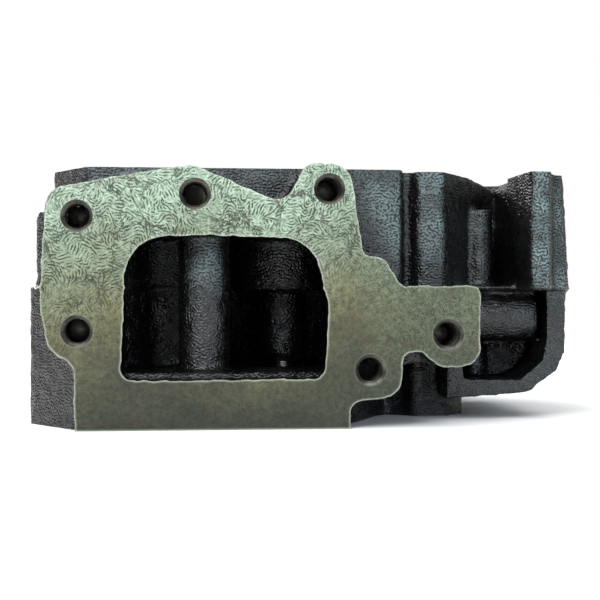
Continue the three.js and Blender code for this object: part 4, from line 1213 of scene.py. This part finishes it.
for valve in ("intake", "exhaust"):
    valve_seat(valve)
    valve_guide(valve)
    spring_washer(valve)

# %% [markdown]
# ## Poppet valves
#
# A valve is forged and then ground. The neck flows from the head into the stem in one curve, so that gas
# slips past it. Near the tip a groove holds the two collets.

# %% Valves
MARGIN, SEAT_FACE = 1.5, 2.8


def poppet_valve(valve, material):
    head, low, tip = size_of(f"{valve}_valve")
    rim = low + MARGIN
    inner = head - SEAT_FACE
    back = rim + SEAT_FACE
    groove = tip - 6.4
    profile = [
        (0, low + 0.5),
        (head * 0.55, low + 0.5, 1),
        (head * 0.72, low, 1),
        (head, low),
        (head, rim, 0.1),
        (inner, back, 0.3),
        (inner * 0.62, back + 2.2, 3),
        (inner * 0.36, back + 6, 3),
        (STEM, back + 12, 4),
        (STEM, groove - 1.7, 0.1),
        (STEM - 0.7, groove - 1.2, 0.3),
        (STEM - 0.7, groove, 0.3),
        (STEM, groove + 0.5, 0.1),
        (STEM, tip - 0.8),
        (STEM - 0.8, tip),
        (0, tip),
    ]
    lathe_part(f"{valve}_valve", profile, material, f"{valve}_valve_train")


poppet_valve("intake", INTAKE_STEEL)
poppet_valve("exhaust", EXHAUST_STEEL)

# %% [markdown]
# ## Stem seals
#
# A rubber cap sits on each guide and wipes oil off the stem. A fine garter spring in a groove keeps its
# lip tight. The garter is itself a tiny closed coil, and at this size a plain ring of wire stands for it.

# %% Seals
GARTER_WIRE = 0.45


def stem_seal(valve):
    outer, low, high = size_of(f"{valve}_stem_seal")
    guide = size_of(f"{valve}_valve_guide")[0] + FIT
    lip = high - 3
    groove = high - 1.4
    profile = [
        (guide, low),
        (outer, low),
        (outer, low + 1.2, 0.2),
        (outer - 0.35, low + 1.6, 0.2),
        (outer - 0.35, lip - 0.6, 0.3),
        (outer - 1.5, lip + 0.8, 0.4),
        (outer - 1.5, groove - 0.5, 0.2),
        (outer - 1.9, groove, 0.2),
        (outer - 1.5, groove + 0.5, 0.2),
        (outer - 1.7, high),
        (STEM + FIT, high),
        (STEM + FIT, lip),
        (guide, lip),
    ]
    middle = centre(f"{valve}_stem_seal")
    place = Matrix.Translation((middle.x, middle.y, 0))
    angles = [math.tau * i / 10 for i in range(10)]
    ring = [(outer - 1.55 + GARTER_WIRE * math.cos(a), groove + GARTER_WIRE * math.sin(a)) for a in angles]
    garter = turned(ring, FINE_SIDES, place, "garter", 1)
    made = turned(rounded(profile, 0.25), FINE_SIDES, place, "seal")
    join_into(made, [garter])
    set_finishes(made, [SEAL_RUBBER, SPRING_STEEL])
    shade(made, 35)
    place_piece(made, f"{valve}_stem_seal", "head")


for valve in ("intake", "exhaust"):
    stem_seal(valve)

# %% [markdown]
# ## Valve springs
#
# Two springs, one inside the other and wound opposite ways so that their coils can't lock, push each
# valve shut. The coil tree makes them at the size of the mechanical model's springs. They stand still at the
# bottom and are pressed at the top, and here each is fixed to the head, so it is not squashed as its valve
# opens.

# %% Springs
OUTER_WIRE, INNER_WIRE = 1.7, 1.2
OUTER_TURNS, INNER_TURNS = 4.5, 5.5


def valve_spring(valve, which, wire, turns):
    node = f"{valve}_{which}_spring"
    reach, low, high = size_of(node)
    middle = centre(node)
    sizes = {"Radius": reach - wire, "Wire": wire, "Turns": turns, "Bottom": low - 0.45 * wire}
    sizes.update({"Top": high + 0.45 * wire, "Closed": 2 * wire + 0.15, "Ground": 0.45 * wire})
    sizes.update({"Sides": 20, "Steps": int(abs(turns) * 56), "Finish": SPRING_STEEL})
    seat = Matrix.Translation((middle.x, middle.y, 0))
    made = coil(node, seat, sizes)
    shade(made, 50)
    place_piece(made, node, "head")
    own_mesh(made)


for valve in ("intake", "exhaust"):
    valve_spring(valve, "outer", OUTER_WIRE, OUTER_TURNS)
    valve_spring(valve, "inner", INNER_WIRE, -INNER_TURNS)

# %% [markdown]
# ## Retainers and collets
#
# The retainer is a steel dish on top of the springs. Two half cones sit in its taper and grip the stem's
# groove: the harder the springs push, the tighter they hold. Each collet is turned as a whole cone and
# then cut in half.

# %% Retainers
CONE_SMALL, CONE_LARGE = 5.3, 6.6  # radii of the collets' taper, mm


def spring_retainer(valve):
    node = f"{valve}_spring_retainer"
    outer, low, high = size_of(node)
    hub = size_of(f"{valve}_inner_spring")[0] - 2 * INNER_WIRE - FIT
    step = high - 3
    profile = [
        (CONE_SMALL, low),
        (hub, low),
        (hub, step - 1.1, 0.2),
        (hub + 0.9, step, 0.2),
        (outer - 0.8, step, 0.4),
        (outer, step + 0.8, 0.4),
        (outer, high - 1, 0.3),
        (outer - 1, high, 0.5),
        (outer * 0.68, high, 0.8),
        (outer * 0.64, high - 0.5, 0.8),
        (CONE_LARGE + 1.6, high - 0.5, 0.6),
        (CONE_LARGE + 1.1, high, 0.3),
        (CONE_LARGE, high),
    ]
    lathe_part(node, profile, RETAINER_STEEL, f"{valve}_valve_train")


# %% Collets
def collet(valve, half, side):
    node = f"{valve}_collet_{half}"
    low, high = (corner.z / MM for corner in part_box(node))
    bore = STEM + FIT
    profile = [(bore, low), (CONE_SMALL - FIT, low), (CONE_LARGE - FIT, high), (bore, high)]
    middle = centre(f"{valve}_valve")
    whole = turned(rounded(profile, 0.2), FINE_SIDES, name=node)
    bm = bmesh.new()
    bm.from_mesh(whole.data)
    gap = Vector((0, 0.4 * MM * side, 0))
    geometry = bm.verts[:] + bm.edges[:] + bm.faces[:]
    bmesh.ops.bisect_plane(bm, geom=geometry, plane_co=gap, plane_no=(0, side, 0), clear_inner=True)
    bmesh.ops.holes_fill(bm, edges=[edge for edge in bm.edges if edge.is_boundary])
    bmesh.ops.recalc_face_normals(bm, faces=bm.faces)
    bm.transform(Matrix.Translation((middle.x, middle.y, 0)))
    bm.to_mesh(whole.data)
    bm.free()
    whole.data.materials.append(COLLET_STEEL)
    shade(whole, 35)
    place_piece(whole, node, f"{valve}_valve_train")


for valve in ("intake", "exhaust"):
    spring_retainer(valve)
    collet(valve, "a", 1)
    collet(valve, "b", -1)

# %% [markdown]
# ## Injector sleeve
#
# A drawn copper cup carries the injector through the coolant. Its rim is rolled over at the top, and its
# nose seals on a small seat just above the firing face.

# %% Sleeve
SLEEVE_WALL = 1.2


def injector_sleeve():
    outer, low, high = size_of("injector_sleeve")
    nose = NOZZLE + SLEEVE_WALL
    cone = low + 6
    shoulder = cone + outer - nose
    inside = outer - SLEEVE_WALL
    profile = [
        (NOZZLE, low),
        (nose, low),
        (nose, cone + 0.3, 0.6),
        (outer, shoulder + 0.3, 0.6),
        (outer, high, 0.5),
        (inside, high, 0.5),
        (inside, shoulder + 1.4, 0.6),
        (NOZZLE, shoulder, 0.6),
    ]
    lathe_part("injector_sleeve", profile, COPPER, "head", 0.2)


injector_sleeve()

# %% [markdown]
# ## Core plugs and the gallery plug
#
# The holes that held up the sand core are closed with pressed steel cups, plated yellow. The oil
# gallery's drilling ends in a screw plug with a hexagon socket.

# %% Plugs
PLUG_SHEET = 1.8


def core_plug(node):
    out, rim, radius = plug_size(node)
    low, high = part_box(node)
    along = max(range(3), key=lambda i: abs(out[i]))
    depth = (high - low)[along] / MM
    profile = [
        (0, -depth + 0.7),
        (radius * 0.45, -depth + 0.7, 1.5),
        (radius * 0.72, -depth, 1.2),
        (radius - 0.8, -depth, 1.0),
        (radius, -depth + 1.4, 1.0),
        (radius, 0, 0.6),
        (radius - PLUG_SHEET, 0, 0.6),
        (radius - PLUG_SHEET, -depth + PLUG_SHEET + 0.9, 1.2),
        (radius - PLUG_SHEET - 0.9, -depth + PLUG_SHEET, 1.0),
        (radius * 0.6, -depth + PLUG_SHEET, 1.2),
        (radius * 0.4, -depth + PLUG_SHEET + 0.7, 1.5),
        (0, -depth + PLUG_SHEET + 0.7),
    ]
    made = turned(rounded(profile, 0.4), FINE_SIDES, facing(rim, out), node)
    made.data.materials.append(PLUG_ZINC)
    shade(made, 40)
    place_piece(made, node, "head")


def gallery_plug(node):
    out, rim, radius = plug_size(node)
    low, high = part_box(node)
    depth = (high - low).x / MM
    place = facing(rim, out)
    body = turned(rounded([(0, -depth), (radius, -depth), (radius, 0), (0, 0)], 0.5), FINE_SIDES, place, node)
    key = turned([(0, -5), (radius * 0.6, -5), (radius * 0.6, 1), (0, 1)], 6, place, "key")
    socket = body.modifiers.new("socket", "BOOLEAN")
    socket.operation, socket.solver, socket.object = "DIFFERENCE", "MANIFOLD", key
    apply_modifiers(body)
    bpy.data.objects.remove(key)
    set_finishes(body, [PLUG_STEEL])
    shade(body, 30)
    place_piece(body, node, "head")


for node in PLUGS:
    if node.startswith("core"):
        core_plug(node)
    else:
        gallery_plug(node)

# %% [markdown]
# ## Studio
#
# A pale floor, an even white room and soft lamps: one wide light from above whitens the floor, and two
# soft boxes in front light the flange. The room's own light is kept low so that the oily iron stays
# black.

# %% Camera
CAMERA_PLACE = (-30.2, -557.4, 45.7)
CAMERA_YAW = 6.0
LENS, FILM = 81.6, 36.0


def make_camera():
    camera = bpy.data.objects.new("camera", bpy.data.cameras.new("camera"))
    bpy.context.scene.collection.objects.link(camera)
    camera.location = Vector(CAMERA_PLACE) * MM
    camera.rotation_euler = (math.radians(90), 0, math.radians(-CAMERA_YAW))
    camera.data.lens = LENS
    camera.data.sensor_width = FILM
    camera.data.clip_start, camera.data.clip_end = 0.01, 60
    bpy.context.scene.camera = camera


make_camera()


# %% Lamps, room and floor
def soft_box(name, place, size, watts, colour):
    """A square lamp that looks at the middle of the head."""
    lamp = bpy.data.lights.new(name, "AREA")
    lamp.size, lamp.energy, lamp.color = size, watts, linear(colour)[:3]
    made = bpy.data.objects.new(name, lamp)
    bpy.context.scene.collection.objects.link(made)
    made.location = place
    made.rotation_euler = (Vector((0.02, 0, 0.05)) - made.location).to_track_quat("-Z", "Y").to_euler()


soft_box("key_light", (-0.45, -0.95, 0.65), 0.45, 9.0, "#f4f8ff")
soft_box("rib_light", (0.55, -0.9, 0.35), 0.4, 3.5, "#dcebff")
soft_box("back_light", (-0.5, 0.9, 0.7), 0.6, 8.0, "#ffffff")

sky = bpy.data.lights.new("overhead", "SUN")
sky.energy, sky.angle = 3.4, math.radians(80)
overhead = bpy.data.objects.new("overhead", sky)
bpy.context.scene.collection.objects.link(overhead)
overhead.rotation_euler = (math.radians(12), math.radians(-8), 0)

ROOM_LIGHT = 0.28
world = bpy.data.worlds.new("white_room")
bpy.context.scene.world = world
world.use_nodes = True
room = world.node_tree
room.nodes.clear()
seen = add(room, "ShaderNodeLightPath").outputs["Is Camera Ray"]
brightness = add(room, MAP, {"Value": seen, "To Min": ROOM_LIGHT, "To Max": 1.0})
backdrop = add(room, "ShaderNodeBackground", {"Color": (1, 1, 1, 1), "Strength": brightness})
add(room, "ShaderNodeOutputWorld", {"Surface": backdrop})
bpy.context.scene.view_settings.view_transform = "Standard"

bm = bmesh.new()
bmesh.ops.create_grid(bm, x_segments=1, y_segments=1, size=4)
floor = new_object("floor", mesh_from(bm, "floor"))
floor.data.materials.append(finish("pale_floor", "#f6f6f4", 0.7)[0])
floor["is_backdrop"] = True
print("studio has", len(bpy.data.lights), "lamps")

# %% Measure and finish
low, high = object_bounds()
sizes = {"cad": [list(corner) for corner in cad_box], "visual": [list(low), list(high)]}
for name, (low, high) in sizes.items():
    print(name, "box in mm:", [round((b - a) / MM, 1) for a, b in zip(low, high)])
